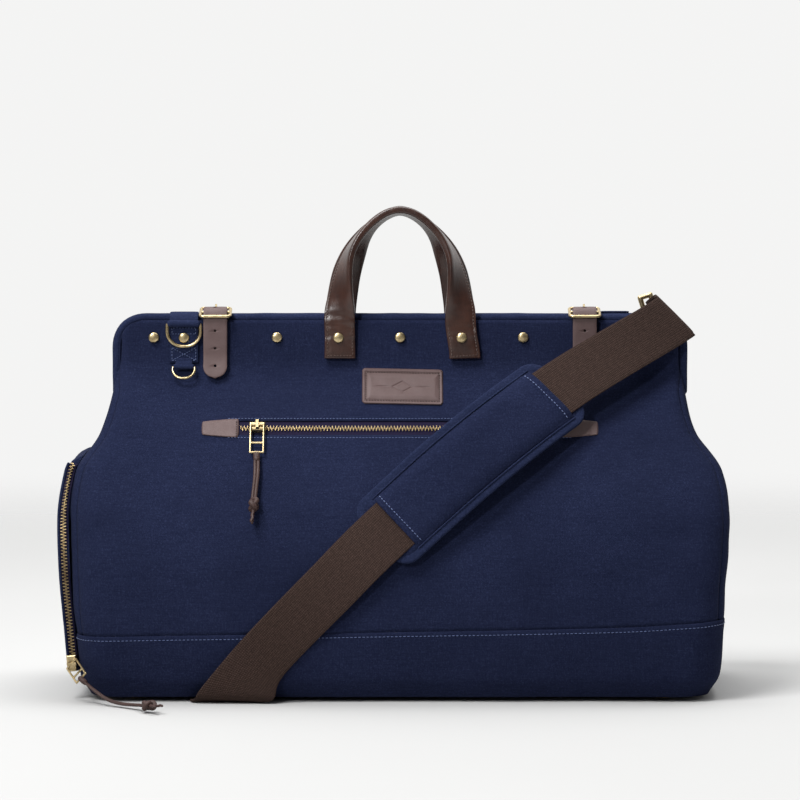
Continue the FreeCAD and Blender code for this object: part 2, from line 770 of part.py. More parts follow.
# ---------------------------------------------------------------- rivets
def rivet(name, x, y, side):
    """A domed rivet whose shank runs inwards along Y; side is -1 on the front."""
    body = body_of(name)
    sketch = sketch_on(body, name + "_half", "XZ_Plane")
    head, shank, dome, grip = (D[k] for k in ("rivet_head", "rivet_shank", "rivet_dome", "rivet_grip"))
    edge, crown = dome * 0.45, head * 0.62
    stem = [(0, -grip), (shank, -grip), (shank, 0)]
    polygon(sketch, stem + [(head, 0), (head, edge), (crown, dome), (0, dome)])
    turn = body.newObject("PartDesign::Revolution", name + "_turned")
    turn.Profile = sketch
    turn.ReferenceAxis = (sketch, ["V_Axis"])
    turn.Angle = 360
    return place(body, x, size_of(y) * side, D["rivet_z"], Vector(1, 0, 0), -90 * side)


def rivet_places():
    """Each rivet's x on the front and how far out its head sits; the rear is the same turned round."""
    pitch = D["rivet_pitch"]
    bare = [(pitch * k, size_of(17.4)) for k in (-4, -2, 0, 2, 4)]
    through_leather = [(pitch * k, D["face_y"] + D["handle_skin"] + 0.1) for k in (-1, 1)]
    through_tab = [(-D["ring_tab_x"], D["face_y"] + D["ring_tab_skin"] + 0.1)]
    return bare + through_leather + through_tab


def rivets():
    for word, side in (("front", -1), ("rear", 1)):
        made = [rivet(f"{word}_rivet_{i}", x * -side, y, side) for i, (x, y) in enumerate(rivet_places())]
        group(f"{word}_rivets", *made)


def rivet_bores(name):
    """Clearance holes for every shank, through the front and rear of the frame."""
    bores = []
    for i, (x, _) in enumerate(rivet_places()):
        for side in (-1, 1):
            label = f"{name}_{i}_{'front' if side < 0 else 'rear'}"
            radius = D["rivet_shank"] + 0.1
            start = (x * -side, 24 * side, D["rivet_z"])
            bores.append(rod(label, radius, 17, *start, Vector(1, 0, 0), 90 * side))
    return group(name, *bores)


# ---------------------------------------------------------------- handles
# One half of the arch from its foot to the crown: x, z, width, thickness, turn of the flat strap (degrees).
HANDLE_HALF = [
    (55.5, 347.0, 28.5, 5.0, 0),
    (53.2, 366.0, 28.0, 5.2, 8),
    (49.5, 385.0, 27.5, 5.6, 20),
    (43.0, 403.0, 26.5, 6.2, 38),
    (35.0, 418.5, 25.0, 7.0, 60),
    (25.0, 430.5, 23.0, 8.0, 75),
    (12.8, 439.0, 22.0, 8.6, 84),
    (0.0, 442.5, 21.5, 9.0, 90),
]
HANDLE_LEAN = 7.0  # the crown stands this much nearer the middle than the feet


def handle_arch():
    """The front handle's free arch: a flat strap at the feet that turns on its side at the crown."""
    whole = HANDLE_HALF + [(-x, z, w, skin, turn) for x, z, w, skin, turn in reversed(HANDLE_HALF[:-1])]
    centre_y = SIZES["face_y"] + SIZES["handle_skin"] / 2
    foot_z, crown_z = HANDLE_HALF[0][1], HANDLE_HALF[-1][1]
    middle = []
    for x, z, *_ in whole:
        middle.append(Vector(x, -centre_y + HANDLE_LEAN * (z - foot_z) / (crown_z - foot_z), z))
    wires = []
    for i, (x, z, width, thick, turn) in enumerate(whole):
        along = middle[min(i + 1, len(middle) - 1)] - middle[max(i - 1, 0)]
        outward = along.cross(Vector(0, 1, 0)).normalize()
        if outward.dot(Vector(x, 0, z - foot_z + 1)) < 0:
            outward = -outward
        across = outward * math.cos(math.radians(turn)) + Vector(0, 1, 0) * math.sin(math.radians(turn))
        skin = along.cross(across).normalize() * (thick / 2)
        across *= width / 2
        corners = [-across - skin, across - skin, across + skin, skin - across]
        ring = [middle[i] + corner for corner in corners]
        wires.append(Part.makePolygon(ring + ring[:1]))
    return Part.makeLoft(wires, True, True)


def handles():
    arch = handle_arch()
    shape_node("front_handle", arch)
    shape_node("rear_handle", turned(arch))
    for word, y in (("front", -D["face_y"] - D["handle_skin"]), ("rear", D["face_y"])):
        tabs = []
        for side, x in (("left", -D["handle_x"]), ("right", D["handle_x"])):
            corner = (x - D["handle_w"] * 0.5, y, D["tab_foot"])
            sizes = (D["handle_w"], D["handle_skin"], D["tab_height"])
            tabs.append(box(f"{word}_{side}_tab", *sizes, *corner))
        cut(f"{word}_handle_tabs", joined(f"{word}_tab_pair", *tabs), RIVET_BORES)


# ---------------------------------------------------------------- closing straps and buckles
# Middle lines in the YZ plane.
TAIL_LINE = [
    (3.3, 348.7),
    (-3, 349.6),
    (-11.5, 353.4),
    (-17.2, 351.6),
    (-20.9, 345.4),
    (-21.3, 338),
    (-21.3, 306),
    (-28.5, 288.5),
]
ROOT_LINE = [(3.9, 349.1), (9, 348.9), (14.5, 345.5), (18.4, 338), (18.9, 312)]
TONGUE_HOLES = (332.5, 316.2, 300.2)


def tail_outline(x):
    """All the space behind a strap's pointed end: straight sides that curve in to the tip."""
    half, tip, shoulder = SIZES["closure_w"] / 2, TAIL_LINE[-1][1] - 0.6, TAIL_LINE[-1][1] + 13
    left, right, point = Vector(x - half, -60, shoulder), Vector(x + half, -60, shoulder), Vector(x, -60, tip)
    bulge = [Vector(x + sign * half * 0.76, -60, tip + 4.6) for sign in (-1, 1)]
    top = [Vector(x + half, -60, 400), Vector(x - half, -60, 400)]
    edges = [Part.Arc(left, bulge[0], point).toShape(), Part.Arc(point, bulge[1], right).toShape()]
    for a, b in ((right, top[0]), (top[0], top[1]), (top[1], left)):
        edges.append(Part.LineSegment(a, b).toShape())
    return Part.Face(Part.Wire(edges)).extrude(Vector(0, 100, 0))


def closing_strap(word, x):
    """The strap in two nodes, because its rear end moves with the rear half of the frame."""
    skin, width = SIZES["closure_skin"], SIZES["closure_w"]
    tail = ribbon(TAIL_LINE, skin, width, x).common(tail_outline(x))
    slot = Part.makeBox(4.6, 18.5, 12, Vector(x - 2.3, -15, 345))
    holes = [Part.makeCylinder(1.3, 20, Vector(x, -34, z), Vector(0, 1, 0)) for z in TONGUE_HOLES]
    shape_node(f"{word}_strap_tail", tail.cut([slot, *holes]))
    return shape_node(f"{word}_strap_root", ribbon(ROOT_LINE, skin, width, x))


def chape(word, x):
    """The short leather that holds the buckle: it loops the middle bar and is riveted to the front."""
    bar = Vector(x, SIZES["buckle_y"], SIZES["buckle_z"])
    width, outer, bore = SIZES["closure_w"], SIZES["buckle_bar"] + 1.5, SIZES["buckle_bar"] + 0.02
    line = [(-11.5, 347.0), (-15.5, 345.6), (-18.3, 341.5), (-18.5, 315)]
    flat = ribbon(line, 1.8, width, x)
    loop = Part.makeCylinder(outer, width, bar - Vector(width / 2, 0, 0), Vector(1, 0, 0))
    hole = Part.makeCylinder(bore, width + 2, bar - Vector(width / 2 + 1, 0, 0), Vector(1, 0, 0))
    slot = Part.makeBox(6, 8, 12, Vector(x - 3, bar.y - 4.5, bar.z - 4.2))
    return shape_node(f"{word}_buckle_chape", loop.fuse(flat).cut([hole, slot]).removeSplitter())


def buckle(word, x):
    """A brass frame with a middle bar, lying over the top edge of the bag."""
    half_len, half_w = D["buckle_half_len"], D["buckle_half_w"]
    ring = wire_loop(f"{word}_buckle_ring", D["buckle_wire"], half_w, half_len, -half_len, 3.2, 3.2)
    bar = rod_x(f"{word}_buckle_bar", D["buckle_bar"], half_w * 2, -half_w, 0, 0)
    frame = joined(f"{word}_buckle", ring, bar)
    place(frame, x, D["buckle_y"], D["buckle_z"], Vector(1, 0, 0), SIZES["buckle_tilt"] - 90)


def prong(word, x):
    """The tongue: an eye round the middle bar and a rod whose tip rests on the rear bar."""
    bar = Vector(x, SIZES["buckle_y"], SIZES["buckle_z"])
    tilt = math.radians(SIZES["buckle_tilt"])
    reach = SIZES["buckle_half_len"]
    rest = bar + Vector(0, math.cos(tilt), math.sin(tilt)) * reach
    rest += Vector(0, -math.sin(tilt), math.cos(tilt)) * (SIZES["buckle_wire"] + SIZES["prong_wire"] + 0.15)
    eye = Part.makeCylinder(2.6, 3.6, bar - Vector(1.8, 0, 0), Vector(1, 0, 0))
    start = bar + Vector(0, 0.6, 1.5)
    run = rest - start
    tongue = Part.makeCylinder(SIZES["prong_wire"], run.Length + 1.6, start, run)
    tip = Part.makeSphere(SIZES["prong_wire"], start + run * (1 + 1.6 / run.Length))
    bore = Part.makeCylinder(SIZES["buckle_bar"] + 0.08, 8, bar - Vector(4, 0, 0), Vector(1, 0, 0))
    shape_node(f"{word}_prong", eye.fuse([tongue, tip]).cut(bore).removeSplitter())


def closures():
    roots, chapes = [], []
    for word, side in (("left", -1), ("right", 1)):
        x = side * SIZES["closure_x"]
        roots.append(closing_strap(word, x))
        chapes.append(chape(word, x))
        buckle(word, D["closure_x"] * side)
        prong(word, x)
    group("strap_roots", *roots)
    group("buckle_chapes", *chapes)


# ---------------------------------------------------------------- ring tabs
# How far each large ring stands out from hanging straight down; the hook holds the rear one out.
LARGE_RING_SWING = {"front": 0, "rear": 25}


def hang(ring, x, y, z, turn, swing):
    """Hangs a ring by its straight bar, swung out from the wall."""
    place(ring, x, y, z)
    ring.Placement.Rotation = Rotation(Vector(0, 0, 1), turn).multiply(Rotation(Vector(1, 0, 0), -swing))
    return ring


def bar_sleeve(middle, width, bore, skin):
    """The cloth round a ring's straight bar, and the room for the bar in it."""
    half = Vector(width / 2, 0, 0)
    sleeve = Part.makeCylinder(bore + skin, width, middle - half, Vector(1, 0, 0))
    room = Part.makeCylinder(bore, width + 2, middle - half - Vector(1, 0, 0), Vector(1, 0, 0))
    return sleeve, room


def ring_pieces():
    """A canvas tab with a large and a small ring: on the front left, and on the rear right."""
    x, y, z = -SIZES["ring_tab_x"], -SIZES["ring_y"], SIZES["ring_z"]
    face, skin, width = SIZES["face_y"], SIZES["ring_tab_skin"], SIZES["ring_tab_w"]
    small_y, small_z, small_w = -SIZES["small_ring_y"], SIZES["small_ring_z"], SIZES["small_tab_w"]
    middle = face + skin / 2
    line = [(-4, 349.2), (-10, 348.8), (-16.6, 344.5), (-middle, 339), (-middle, SIZES["ring_tab_foot"])]
    cover = ribbon(line, skin, width, x)
    sleeve, bore = bar_sleeve(Vector(x, y, z), width, SIZES["ring_bore"], 1.3)
    small_sleeve, small_bore = bar_sleeve(Vector(x, small_y, small_z), small_w, SIZES["small_ring_bore"], 1.0)
    small_arm = ribbon([(-middle - 0.4, 304.5), (small_y + 1.2, small_z + 1.2)], 2.0, small_w, x)
    rivet_at = Vector(x, -24, SIZES["rivet_z"])
    shank = Part.makeCylinder(SIZES["rivet_shank"] + 0.1, 12, rivet_at, Vector(0, 1, 0))
    tab = cover.fuse([sleeve, small_arm, small_sleeve]).cut([bore, small_bore, shank]).removeSplitter()
    shape_node("front_ring_tab", tab)
    shape_node("rear_ring_tab", turned(tab))
    for word, turn, side in (("front", 0, -1), ("rear", 180, 1)):
        large_w, small_w = D["ring_half_w"], D["small_ring_half_w"]
        drop = -D["ring_drop"]
        large = wire_loop(f"{word}_large_ring", D["ring_wire"], large_w, 0, drop, 2.5, large_w - 1.4)
        hang(large, D["ring_tab_x"] * side, D["ring_y"] * side, D["ring_z"], turn, LARGE_RING_SWING[word])
        drop = -D["small_ring_drop"]
        small = wire_loop(f"{word}_small_ring", D["small_ring_wire"], small_w, 0, drop, 2, small_w - 0.8)
        hang(small, D["ring_tab_x"] * side, D["small_ring_y"] * side, D["small_ring_z"], turn, 34)


# ---------------------------------------------------------------- front pocket and patch
def leather_patch():
    body = body_of("leather_patch")
    sketch = sketch_on(body, "patch_outline", "XZ_Plane")
    rounded_rectangle(sketch, D["patch_w"] * 0.5, D["patch_tall"] * 0.5, 3)
    pad(body, sketch, D["patch_skin"])
    on_front(body, 0.8, D["patch_z"], 3.4)


def front_pocket():
    """The zip stands in a slot of the leaning front wall; its pouch hangs behind the wall."""
    half, slot = D["zip_half_len"], D["zip_slot"]
    tape = box("pocket_zip_tape", half * 2 - 0.2, D["zip_tape_skin"], slot - 0.2)
    on_front(tape, -half.value + 0.1, D["zip_z"], 0)
    shift_along_wall(tape, -slot.value / 2 + 0.1, D["zip_tape_depth"].value - D["zip_tape_skin"].value)
    chain = box("pocket_zip_chain", half * 2 - 12, D["zip_chain_skin"], D["zip_chain_w"])
    on_front(chain, -half.value + 6, D["zip_z"], 0)
    depth = D["zip_tape_depth"].value - D["zip_tape_skin"].value - D["zip_chain_skin"].value
    shift_along_wall(chain, D["zip_chain_rise"].value - D["zip_chain_w"].value / 2, depth)
    tabs = []
    for word, side in (("left", -1), ("right", 1)):
        body = body_of(f"zip_tab_{word}")
        sketch = sketch_on(body, f"zip_tab_{word}_outline", "XZ_Plane")
        length, tall = D["zip_tab_len"], D["zip_tab_tall"]
        points = [(0, tall * 0.5), (0, -tall * 0.5)]
        points += [(-length + 3, -tall * 0.38), (-length, 0), (-length + 3, tall * 0.38)]
        polygon(sketch, points if side < 0 else [(-size_of(x), y) for x, y in points[::-1]])
        pad(body, sketch, 2.0)
        on_front(body, side * (half.value - 4), D["zip_z"], 0.2)
        tabs.append(body)
    group("pocket_zip_tabs", *tabs)
    pouch_levels = wall_skin("pouch_tube", range(2, 7), D["wall"] + 0.3, D["pouch_skin"] - 0.4)
    half_w, low = D["pouch_half_w"], D["pouch_low"]
    space = box("pouch_space", half_w * 2, 130, D["pouch_high"] - low, -half_w, -135, low)
    common("pocket_pouch", pouch_levels, space)


def shift_along_wall(thing, up, inward, right=0):
    """Moves a piece laid on the front wall up along the wall, in from its outer face and to the right."""
    thing.Placement.Base = thing.Placement.Base + thing.Placement.Rotation.multVec(Vector(right, inward, up))
    for axis in "xyz":
        thing.setExpression(f"Placement.Base.{axis}", None)


def slider_shape():
    """A zip slider: a block that straddles the chain, with a bridge for the pull."""
    length, width, rise = (SIZES[k] for k in ("slider_len", "slider_w", "slider_rise"))
    block = Part.makeBox(length, rise, width, Vector(-length / 2, -rise, -width / 2))
    block = block.makeFillet(1.6, [e for e in block.Edges if e.BoundBox.YMax < -rise + 0.01])
    clear = SIZES["zip_chain_w"] + 0.8
    channel = Part.makeBox(length + 2, 3.4, clear, Vector(-length / 2 - 1, -3.2, -clear / 2))
    post = Part.makeBox(2.6, 3.8, 8.6, Vector(-1.3, -rise - 3.6, -4.3))
    gap = Part.makeBox(4, 2.6, 6.2, Vector(-2, -rise - 2.5, -3.1))
    return block.cut(channel).fuse(post.cut(gap)).removeSplitter()


def pull_shape():
    """A wire pull with a cross bar; it hangs from its top bar, which lies on the X axis."""
    half, length, wire = (SIZES[k] for k in ("pull_half_w", "pull_len", "pull_wire"))
    bars = []
    for z in (0, -length * 0.66, -length):
        bars.append(Part.makeCylinder(wire, half * 2, Vector(-half, 0, z), Vector(1, 0, 0)))
    for x in (-half, half):
        bars.append(Part.makeCylinder(wire, length, Vector(x, 0, -length), Vector(0, 0, 1)))
        bars += [Part.makeSphere(wire, Vector(x, 0, z)) for z in (0, -length)]
    return bars[0].fuse(bars[1:]).removeSplitter()


# Each thong's middle line after the pull: down the leaning front wall, and out over the floor.
FRONT_THONG = [(-130.4, -90.4, 208.5), (-131.6, -98.2, 196.0), (-132.8, -105.2, 184.0)]
END_THONG = [
    (-275.0, -134.0, 11.5),
    (-262.5, -144.5, 5.0),
    (-249.0, -155.0, 3.3),
    (-236.5, -167.0, 4.4),
    (-227.5, -181.0, 5.7),
]
THONG_RADIUS = 2.9
KNOT_RADIUS = 6.0


def knot(point, along):
    """A plain stand-in for a knot with two short tails."""
    along = Vector(along).normalize()
    ball = Part.makeSphere(KNOT_RADIUS, Vector(*point) + along * KNOT_RADIUS)
    tails = Part.makeCylinder(2.4, 22, Vector(*point) + along * 2, along)
    return ball.fuse(tails).removeSplitter()


def pull_and_thong(word, pivot, down, bar, line):
    """The pull from its pivot along down, its bar along bar, and the thong looped on its foot."""
    pull = shape_node(f"{word}_zip_pull", pull_shape())
    down, bar = Vector(*down).normalize(), Vector(*bar).normalize()
    pull.Placement = Placement(pivot, Rotation(bar, down.cross(bar), -down))
    foot = pivot + down * SIZES["pull_len"]
    points = [tuple(foot + down * (THONG_RADIUS + 1.5))] + line
    shape_node(f"{word}_pull_thong", tube_along(points, THONG_RADIUS))
    last, before = Vector(*points[-1]), Vector(*points[-2])
    shape_node(f"{word}_pull_knot", knot(last, last - before))
    print(word, "pull pivot", [round(v, 2) for v in pivot])


def front_zip_pull():
    turn = Rotation(Vector(1, 0, 0), -front_lean(SIZES["zip_z"]))
    base = Vector(SIZES["slider_x"], -half_depth(SIZES["zip_z"]), SIZES["zip_z"])
    slider = shape_node("front_zip_slider", slider_shape())
    slider.Placement = Placement(base + turn.multVec(Vector(0, 0.6, SIZES["zip_chain_rise"])), turn)
    pivot = slider.Placement.multVec(Vector(0, -SIZES["slider_rise"] - 1.2, 0))
    pull_and_thong("front", pivot, (0, -0.558, -0.83), (1, 0, 0), FRONT_THONG)


# ---------------------------------------------------------------- end pocket
def end_pocket():
    """A flat zipped pocket over the left end wall, rounded with it at both corners."""
    skin = wall_skin("pocket_skin", range(1, 7), -D["pocket_wall"], D["pocket_wall"] - 0.3)
    body = body_of("pocket_outline")
    half = D["pocket_half_d"]
    near = [(half, D["pocket_low"]), (half, level(3)[0]), (half - 14, level(4)[0]), (half - 34, level(5)[0])]
    near.append((half - 40, D["pocket_high"]))
    far = [(-y, z) for y, z in reversed(near)]
    sketch = polygon(sketch_on(body, "pocket_side", "YZ_Plane", -400), near + far)
    pad(body, sketch, 400)
    common("end_pocket", skin, body)


def end_zip_line():
    """The middle of the end pocket's zip, up its front edge: straight as far as the third point's height."""
    out, half = SIZES["end_zip_out"], SIZES["pocket_half_d"]
    marks = [(28, 0), (118, 0), (165, 14), (200, 31.5)]
    return [Vector(-(half_width(z) + out), -half + inward, z) for z, inward in marks]


def end_zip():
    line = end_zip_line()
    across = Vector(1, 0, 0)
    tape = [(p - across * 3.6 - Vector(0, 0.7, 0), p + across * 4.6 - Vector(0, 0.7, 0)) for p in line]
    chain = [(p - across * 3.1 - Vector(0, 2.1, 0), p + across * 3.1 - Vector(0, 2.1, 0)) for p in line]
    shape_node("end_zip_tape", strip(tape, 0.8))
    shape_node("end_zip_chain", strip(chain, 1.6))
    run = (line[1] - line[0]).normalize()
    base = line[0] + run * ((SIZES["end_slider_z"] - line[0].z) / run.z) - Vector(0, 1.2, 0)
    slider = shape_node("end_zip_slider", slider_shape())
    slider.Placement = Placement(base, Rotation(run, Vector(0, 1, 0), run.cross(Vector(0, 1, 0))))
    pivot = slider.Placement.multVec(Vector(0, -SIZES["slider_rise"] - 1.2, 0))
    print("end slider run", [round(v, 4) for v in run])
    pull_and_thong("end", pivot, (0.36, -0.87, -0.337), (0.683, 0, 0.73), END_THONG)


# ---------------------------------------------------------------- shoulder strap
def lying(x, y, heading):
    """A pair of edge points flat on the floor, about x, y, for a strap that runs at heading degrees."""
    turn = math.radians(heading)
    across = Vector(-math.sin(turn), math.cos(turn), 0) * (SIZES["strap_w"] / 2)
    centre = Vector(x, y, SIZES["strap_skin"] / 2 + 0.15)
    return centre + across, centre - across


def standing(x, z, slope, off):
    """A pair of edge points off the front wall, about x, z, for a strap that climbs at slope degrees."""
    a, half = math.radians(slope), SIZES["strap_w"] / 2
    pair = []
    for sign in (1, -1):
        px, pz = x - sign * math.sin(a) * half, z + sign * math.cos(a) * half
        pair.append(Vector(px, -half_depth(pz) - off, pz))
    return tuple(pair)


FREE_END = (-278, 168)
FOLD_MIDDLE = Vector(240, 0, 332.5)
FOLD_RADIUS = 21.0
OUTWARD = Vector(1, 0, 1).normalize()  # away from the bag's top right corner
ALONG_FOLD = Vector(1, 0, -1).normalize()


def fold(angles):
    """The strap wrapped round the bag's top right corner, as pairs of edge points."""
    half, pairs = SIZES["strap_w"] / 2, []
    for angle in angles:
        a = math.radians(angle)
        centre = FOLD_MIDDLE + OUTWARD * (FOLD_RADIUS * math.cos(a)) + Vector(0, FOLD_RADIUS * math.sin(a), 0)
        pairs.append((centre - ALONG_FOLD * half, centre + ALONG_FOLD * half))
    return pairs


def pad_line():
    """The strap's edge points where the pad holds it, from the lower mouth to the upper."""
    return [
        standing(-20, 149, 44, 10.5),
        (Vector(46, -106, 241), Vector(82, -114, 206)),
        (Vector(131, -60, 302), Vector(167, -72, 267)),
    ]


def shoulder_strap():
    """Webbing from its free end behind the bag, under it, across the front and over the right end."""
    skin = SIZES["strap_skin"]
    under = [lying(*FREE_END, -90), lying(-278, 118, -90), lying(-273, 70, -83)]
    under += [lying(-251, 10, -66), lying(-210, -58, -56)]
    bend = [(Vector(-191, -113, 1.35), Vector(-134, -96, 1.35))]
    bend += [(Vector(-186, -125, 4), Vector(-124, -120, 1.6))]
    climb = [(Vector(-179, -130.5, 16), Vector(-114, -130.5, 5))]
    climb += [standing(-122, 45, 46, 5), standing(-65, 104, 45.5, 6.5)]
    shape_node("shoulder_strap", strip(under + bend + climb + pad_line() + fold(range(-90, 1, 18)), skin))
    low, middle, high = pad_line()
    shape_node("shoulder_pad", strip([low, middle, high], SIZES["pad_skin"], SIZES["pad_w"], -5.0))
    inner_low = blend_pair(low, middle, 0.2)
    inner_high = blend_pair(middle, high, 0.88)
    sleeve = [inner_low, middle, inner_high]
    shape_node("pad_sleeve", strip(sleeve, SIZES["sleeve_skin"], SIZES["sleeve_w"], 2.35))


def blend_pair(first, second, share):
    return tuple(a + (b - a) * share for a, b in zip(first, second))


# The hook that holds the strap to the rear ring: its eye's middle and its axis towards the ring.
HOOK_EYE = Vector(242.6, 27.3, 337.0)
HOOK_AXIS = Vector(-0.954, 0, -0.3).normalize()
HOOK_REACH = 28.5  # from the eye's outer bar to the middle of the bow


def strap_end():
    """The short end of the strap behind the right corner, sewn round the hook's eye."""
    half = SIZES["strap_w"] / 2
    eye_bar = Vector(0.3, 0, -0.954).normalize()
    sewn = HOOK_EYE - HOOK_AXIS * (SIZES["hook_wire"] + 2.8)
    last = (sewn - eye_bar * half, sewn + eye_bar * half)
    shape_node("strap_end", strip(fold((3, 18, 33, 48, 62)) + [last], SIZES["strap_skin"]))
    ring_hook = shape_node("ring_hook", hook_shape())
    ring_hook.Placement = Placement(HOOK_EYE, Rotation(HOOK_AXIS, eye_bar, HOOK_AXIS.cross(eye_bar)))
    free_hook = shape_node("free_hook", hook_shape(flat=True))
    x, y = FREE_END
    wire = SIZES["hook_wire"]
    free_hook.Placement = Placement(Vector(x, y + wire + 0.6, wire + 0.1), Rotation(Vector(0, 0, 1), 90))


def hook_shape(flat=False):
    """A snap hook along +X: a wide eye for the webbing, a swivel barrel and a closed bow.

    The bow stands across the eye, or lies in the eye's plane when flat.
    """
    wire, half, bow = SIZES["hook_wire"], SIZES["strap_w"] / 2 + 3, SIZES["hook_bow"]
    eye = [Part.makeCylinder(wire, half * 2, Vector(x, -half, 0), Vector(0, 1, 0)) for x in (0, 10)]
    eye += [Part.makeCylinder(wire, 10, Vector(0, y, 0), Vector(1, 0, 0)) for y in (-half, half)]
    eye += [Part.makeSphere(wire, Vector(x, y, 0)) for x in (0, 10) for y in (-half, half)]
    barrel = Part.makeCylinder(4.2 if not flat else wire, 6, Vector(11, 0, 0), Vector(1, 0, 0))
    stem = Part.makeCylinder(2.2, 6, Vector(16, 0, 0), Vector(1, 0, 0))
    normal = Vector(0, 0, 1) if flat else Vector(0, 1, 0)
    ring = Part.makeTorus(bow, SIZES["hook_bow_wire"], Vector(HOOK_REACH, 0, 0), normal)
    return eye[0].fuse([*eye[1:], barrel, stem, ring]).removeSplitter()


# ---------------------------------------------------------------- build and write
NODES = [
    "front_panel", "rear_panel", "left_end_panel", "right_end_panel", "base_wrap", "lining",
    "bottom_panel", "base_board", "base_feet", "front_frame_bar", "frame_pivot_pins", "front_rim",
    "front_gusset_folds", "front_rivets", "front_handle_tabs", "left_strap_tail", "right_strap_tail",
    "buckle_chapes", "left_buckle", "right_buckle", "front_ring_tab", "leather_patch", "pocket_zip_tape",
    "pocket_zip_chain", "pocket_zip_tabs", "pocket_pouch", "end_pocket", "end_zip_tape", "end_zip_chain",
    "shoulder_strap", "shoulder_pad", "pad_sleeve", "free_hook", "left_prong", "right_prong",
    "front_large_ring", "front_small_ring", "front_handle", "front_zip_slider", "front_zip_pull",
    "front_pull_thong", "front_pull_knot", "end_zip_slider", "end_zip_pull", "end_pull_thong",
    "end_pull_knot", "rear_mouth_panel", "rear_frame_bar", "rear_rim", "rear_gusset_folds", "rear_rivets",
    "rear_handle_tabs", "strap_roots", "rear_ring_tab", "strap_end", "ring_hook", "rear_handle",
    "rear_large_ring", "rear_small_ring",
]


def write_parts():
    os.makedirs("parts", exist_ok=True)
    for old in os.listdir("parts"):
        os.remove(os.path.join("parts", old))
    failed = [o.Name for o in doc.Objects if {"Invalid", "Error"} & set(o.State)]
    for label in NODES:
        thing = doc.getObjectsByLabel(label)[0]
        shape = thing.Shape
        if shape.isNull() or not shape.isValid() or not shape.Solids:
            failed.append(label)
            continue
        shape.exportStep(f"parts/{label}.step")
    if failed:
        sys.exit(f"failed: {failed}")


RIVET_BORES = rivet_bores("rivet_bores")
canvas_walls()
base_pieces()
mouth_frame()
rivets()
handles()
closures()
ring_pieces()
leather_patch()
front_pocket()
front_zip_pull()
end_pocket()
end_zip()
shoulder_strap()
strap_end()
doc.recompute()
write_parts()
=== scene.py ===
import json
import math

import bmesh
import bpy
import numpy as np
from mathutils import Matrix, Vector, noise


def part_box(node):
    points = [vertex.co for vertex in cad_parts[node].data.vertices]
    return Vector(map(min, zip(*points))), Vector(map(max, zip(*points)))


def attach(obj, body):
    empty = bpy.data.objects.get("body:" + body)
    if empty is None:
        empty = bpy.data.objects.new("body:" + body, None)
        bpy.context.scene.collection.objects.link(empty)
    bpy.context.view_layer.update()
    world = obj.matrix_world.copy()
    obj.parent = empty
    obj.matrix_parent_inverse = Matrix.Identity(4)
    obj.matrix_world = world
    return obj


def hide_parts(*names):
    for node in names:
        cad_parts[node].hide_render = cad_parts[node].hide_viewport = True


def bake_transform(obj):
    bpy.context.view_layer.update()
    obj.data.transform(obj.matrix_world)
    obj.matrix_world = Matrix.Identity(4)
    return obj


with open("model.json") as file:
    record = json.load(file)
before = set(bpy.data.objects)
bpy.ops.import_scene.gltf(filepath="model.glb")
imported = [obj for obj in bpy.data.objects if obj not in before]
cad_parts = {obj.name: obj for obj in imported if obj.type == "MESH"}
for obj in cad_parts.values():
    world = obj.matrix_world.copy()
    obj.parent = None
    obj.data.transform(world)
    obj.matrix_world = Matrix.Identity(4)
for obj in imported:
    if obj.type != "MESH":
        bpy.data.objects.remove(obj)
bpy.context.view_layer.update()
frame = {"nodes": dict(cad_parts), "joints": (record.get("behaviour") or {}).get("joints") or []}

# A framed weekender bag: canvas walls, leather handles and closing straps, zipped pockets and
# a webbing shoulder strap, drawn around the CAD frame. Metres; the front faces -Y, +Z is up.


def mm(*lengths):
    """Millimetres as metres: one number, or a tuple of them."""
    return lengths[0] / 1000 if len(lengths) == 1 else tuple(x / 1000 for x in lengths)


def spread(low, high, count, **ends):
    """Numbers from low to high, evenly spaced."""
    return [float(x) for x in np.linspace(low, high, count, **ends)]


def configure(thing, settings):
    for name, value in settings.items():
        setattr(thing, name, value)
    return thing


# ---------------------------------------------------------------- camera, light and floor
CAMERA_PLACE = (0, -4.0, 0.55)
CAMERA_PITCH = 4.05  # degrees below the horizon
CAMERA_LENS = 193.8  # for a sensor 36 mm wide
BAG_MIDDLE = (0, 0, 0.2)
BACKGROUND = (0.905, 0.905, 0.90, 1)
DIM_FRONT = (0.15, 0.15, 0.155, 1)
BELOW_HORIZON = 0.35  # the share of the background's strength that is left down there
FLOOR_CLEAR, FLOOR_END = 0.75, 2.4  # how far out the floor starts to fade, and ends


def placed(name, data, place, turn):
    """A new object at a place, turned by Euler angles."""
    piece = bpy.data.objects.new(name, data)
    piece.location = place
    piece.rotation_euler = turn
    bpy.context.scene.collection.objects.link(piece)
    return piece


def camera():
    made = bpy.data.cameras.new("camera")
    made.sensor_width = 36
    made.lens = CAMERA_LENS
    turn = (math.radians(90 - CAMERA_PITCH), 0, 0)
    bpy.context.scene.camera = placed("camera", made, CAMERA_PLACE, turn)


def lamp(name, kind, place, power, aim, **settings):
    made = configure(bpy.data.lights.new(name, kind), settings)
    made.energy = power
    placed(name, made, place, (Vector(aim) - Vector(place)).to_track_quat("-Z", "Y").to_euler())


